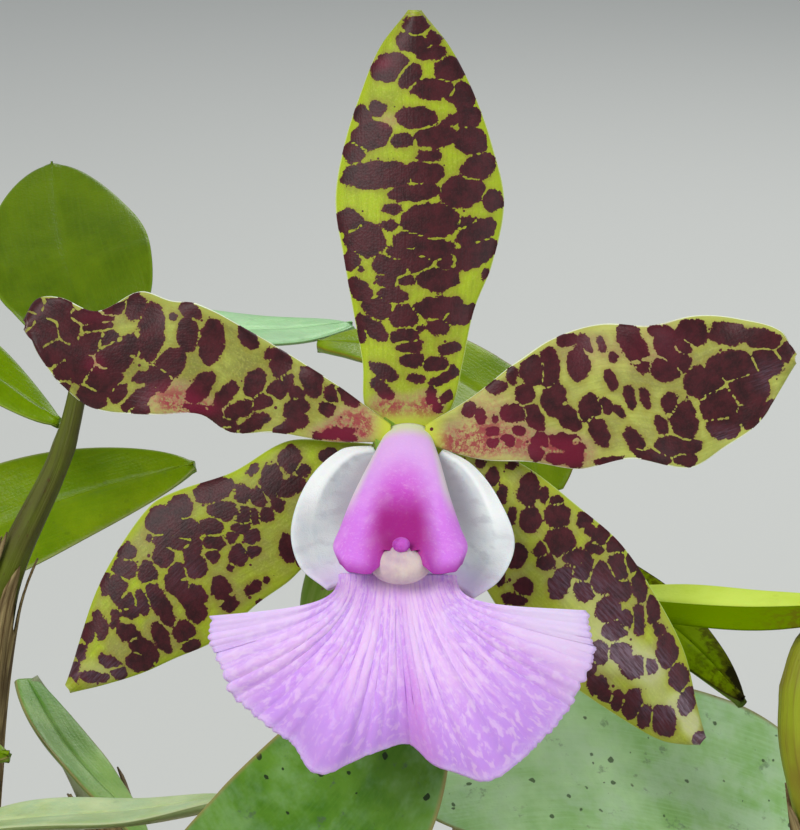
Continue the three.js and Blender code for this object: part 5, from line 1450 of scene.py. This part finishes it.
def add_chip(shape, centre, size, turn, draw, slot):
    """A jittered box, turned and laid; its marks are places in the box, moved on for each chip."""
    corners = chip_corners(size, draw) @ turn_matrix(*turn).T + centre
    flat = chip_corners(size, draw, 0)
    shape.add(corners, BOX_FACES, flat + CHIP_DRIFT * centre, slot)


def make_bark():
    """The medium, with its chips laid round by the golden angle in layers from large to small."""
    draws = np.random.default_rng(BARK_SEED)
    shape = Shape()
    profile = [[NEAR_AXIS, BARK_FLOOR], [FOOT_RADIUS - WALL, BARK_FLOOR],
               [INNER_RADIUS - 1, SHOULDER - BEND_DROP], [INNER_RADIUS + 1, BARK_SURFACE]]
    profile += [[r, BARK_SURFACE] for r in np.linspace(INNER_RADIUS - 1, NEAR_AXIS, BARK_RINGS)]

    def rough(p):
        lift = 0.9 * np.sin(p[..., 0] * 0.9 + 2 * np.sin(p[..., 1] * 0.5)) * np.sin(p[..., 1] * 0.8)
        top = p[..., 2] > ROUGH_FROM
        return np.stack([0 * lift, 0 * lift, np.where(top, lift, 0)], axis=-1)
    turned(shape, profile, BARK_SIDES, rough)
    golden = math.pi * (3 - math.sqrt(5))
    for count, size, lift, slot in CHIPS:
        for i in range(count):
            reach = (INNER_RADIUS - size * 0.75) * math.sqrt((i + 0.5) / count)
            angle = i * golden + size
            big = size * mix(0.7, 1.25, draws.random())
            centre = np.array([reach * math.cos(angle), reach * math.sin(angle),
                               CHIPS_FROM + lift * draws.random()])
            tilt = 0.8 * (draws.random(2) - 0.5)
            add_chip(shape, centre, np.array([1.25, mix(0.6, 0.9, draws.random()), 0.42]) * big,
                     (tilt[0], tilt[1], 2 * math.pi * draws.random()), draws.random, slot)
    piece = shape.build("bark_fine", "bark",
                        [bark_paint("bark_dark", (60, 42, 30), (104, 76, 52), 3),
                         bark_paint("bark_red", (112, 70, 44), (158, 108, 70), 11),
                         bark_paint("bark_grey", (96, 80, 64), (150, 132, 108), 29)])
    bevel = piece.modifiers.new("worn", "BEVEL")
    bevel.width = CHIP_BEVEL * MM
    bevel.segments = 1
    bevel.limit_method = "ANGLE"
    bevel.angle_limit = CHIP_BEVEL_ANGLE
    bpy.context.view_layer.objects.active = piece
    bpy.ops.object.modifier_apply(modifier=bevel.name)


# Stage, light and camera

# Metres
FLOOR_SIZE = 12


def stage_floor():
    bpy.ops.mesh.primitive_plane_add(size=FLOOR_SIZE)
    floor = bpy.context.object
    floor.name = "floor"
    p = Paint("floor")
    tone = p.noise(p.place(), 1.5, 2)
    p.color = p.blend(tone, (206, 208, 202), (212, 213, 208))
    floor.data.materials.append(p.finish(0.9))


# Round lights that face the bloom: place and size in metres, watts, and colour
LIGHTS = (("key", (-0.55, -0.75, 0.95), 0.6, 8.6, (1, 0.985, 0.96)),
          ("fill", (0.8, -0.7, 0.45), 0.7, 2.8, (0.95, 0.98, 1)),
          ("back", (0.3, 0.9, 0.9), 0.7, 5, (1, 1, 1)))
SKY_COLOR = (0.9, 0.94, 1, 1)
SKY_STRENGTH = 0.42


def make_lights():
    aim = Vector((BLOOM_CENTRE * MM).tolist())
    for name, place, size, power, color in LIGHTS:
        data = bpy.data.lights.new(name, "AREA")
        data.shape = "DISK"
        data.size = size
        data.energy = power
        data.color = color
        lamp = bpy.data.objects.new(name, data)
        bpy.context.scene.collection.objects.link(lamp)
        lamp.location = place
        lamp.rotation_euler = (aim - Vector(place)).to_track_quat("-Z", "Y").to_euler()
    world = bpy.data.worlds.new("soft")
    world.use_nodes = True
    background = world.node_tree.nodes["Background"]
    background.inputs["Color"].default_value = SKY_COLOR
    background.inputs["Strength"].default_value = SKY_STRENGTH
    bpy.context.scene.world = world
    bpy.context.scene.view_settings.view_transform = "Standard"


def make_camera():
    data = bpy.data.cameras.new("camera")
    data.sensor_fit = "HORIZONTAL"
    data.sensor_width = SENSOR
    data.lens = SENSOR * CAMERA_DISTANCE / (PHOTO_WIDTH * MM_PER_PIXEL)
    data.clip_start = CLIP_START
    camera = bpy.data.objects.new("camera", data)
    bpy.context.scene.collection.objects.link(camera)
    up = np.array([0, -math.sin(BLOOM_TILT), math.cos(BLOOM_TILT)])
    away = np.array([0, math.cos(BLOOM_TILT), math.sin(BLOOM_TILT)])
    eye = BLOOM_CENTRE + [CAMERA_ASIDE, 0, 0] + CAMERA_ABOVE * up - CAMERA_DISTANCE * away
    camera.location = (eye * MM).tolist()
    camera.rotation_euler = (math.pi / 2 + BLOOM_TILT, 0, 0)
    bpy.context.scene.camera = camera


make_camera()
stage_floor()
make_lights()
make_pot()
make_bark()
make_roots()
make_canes()
make_leaves()
make_pedicel()
make_tepals()
make_lip()
make_column()
make_anther()
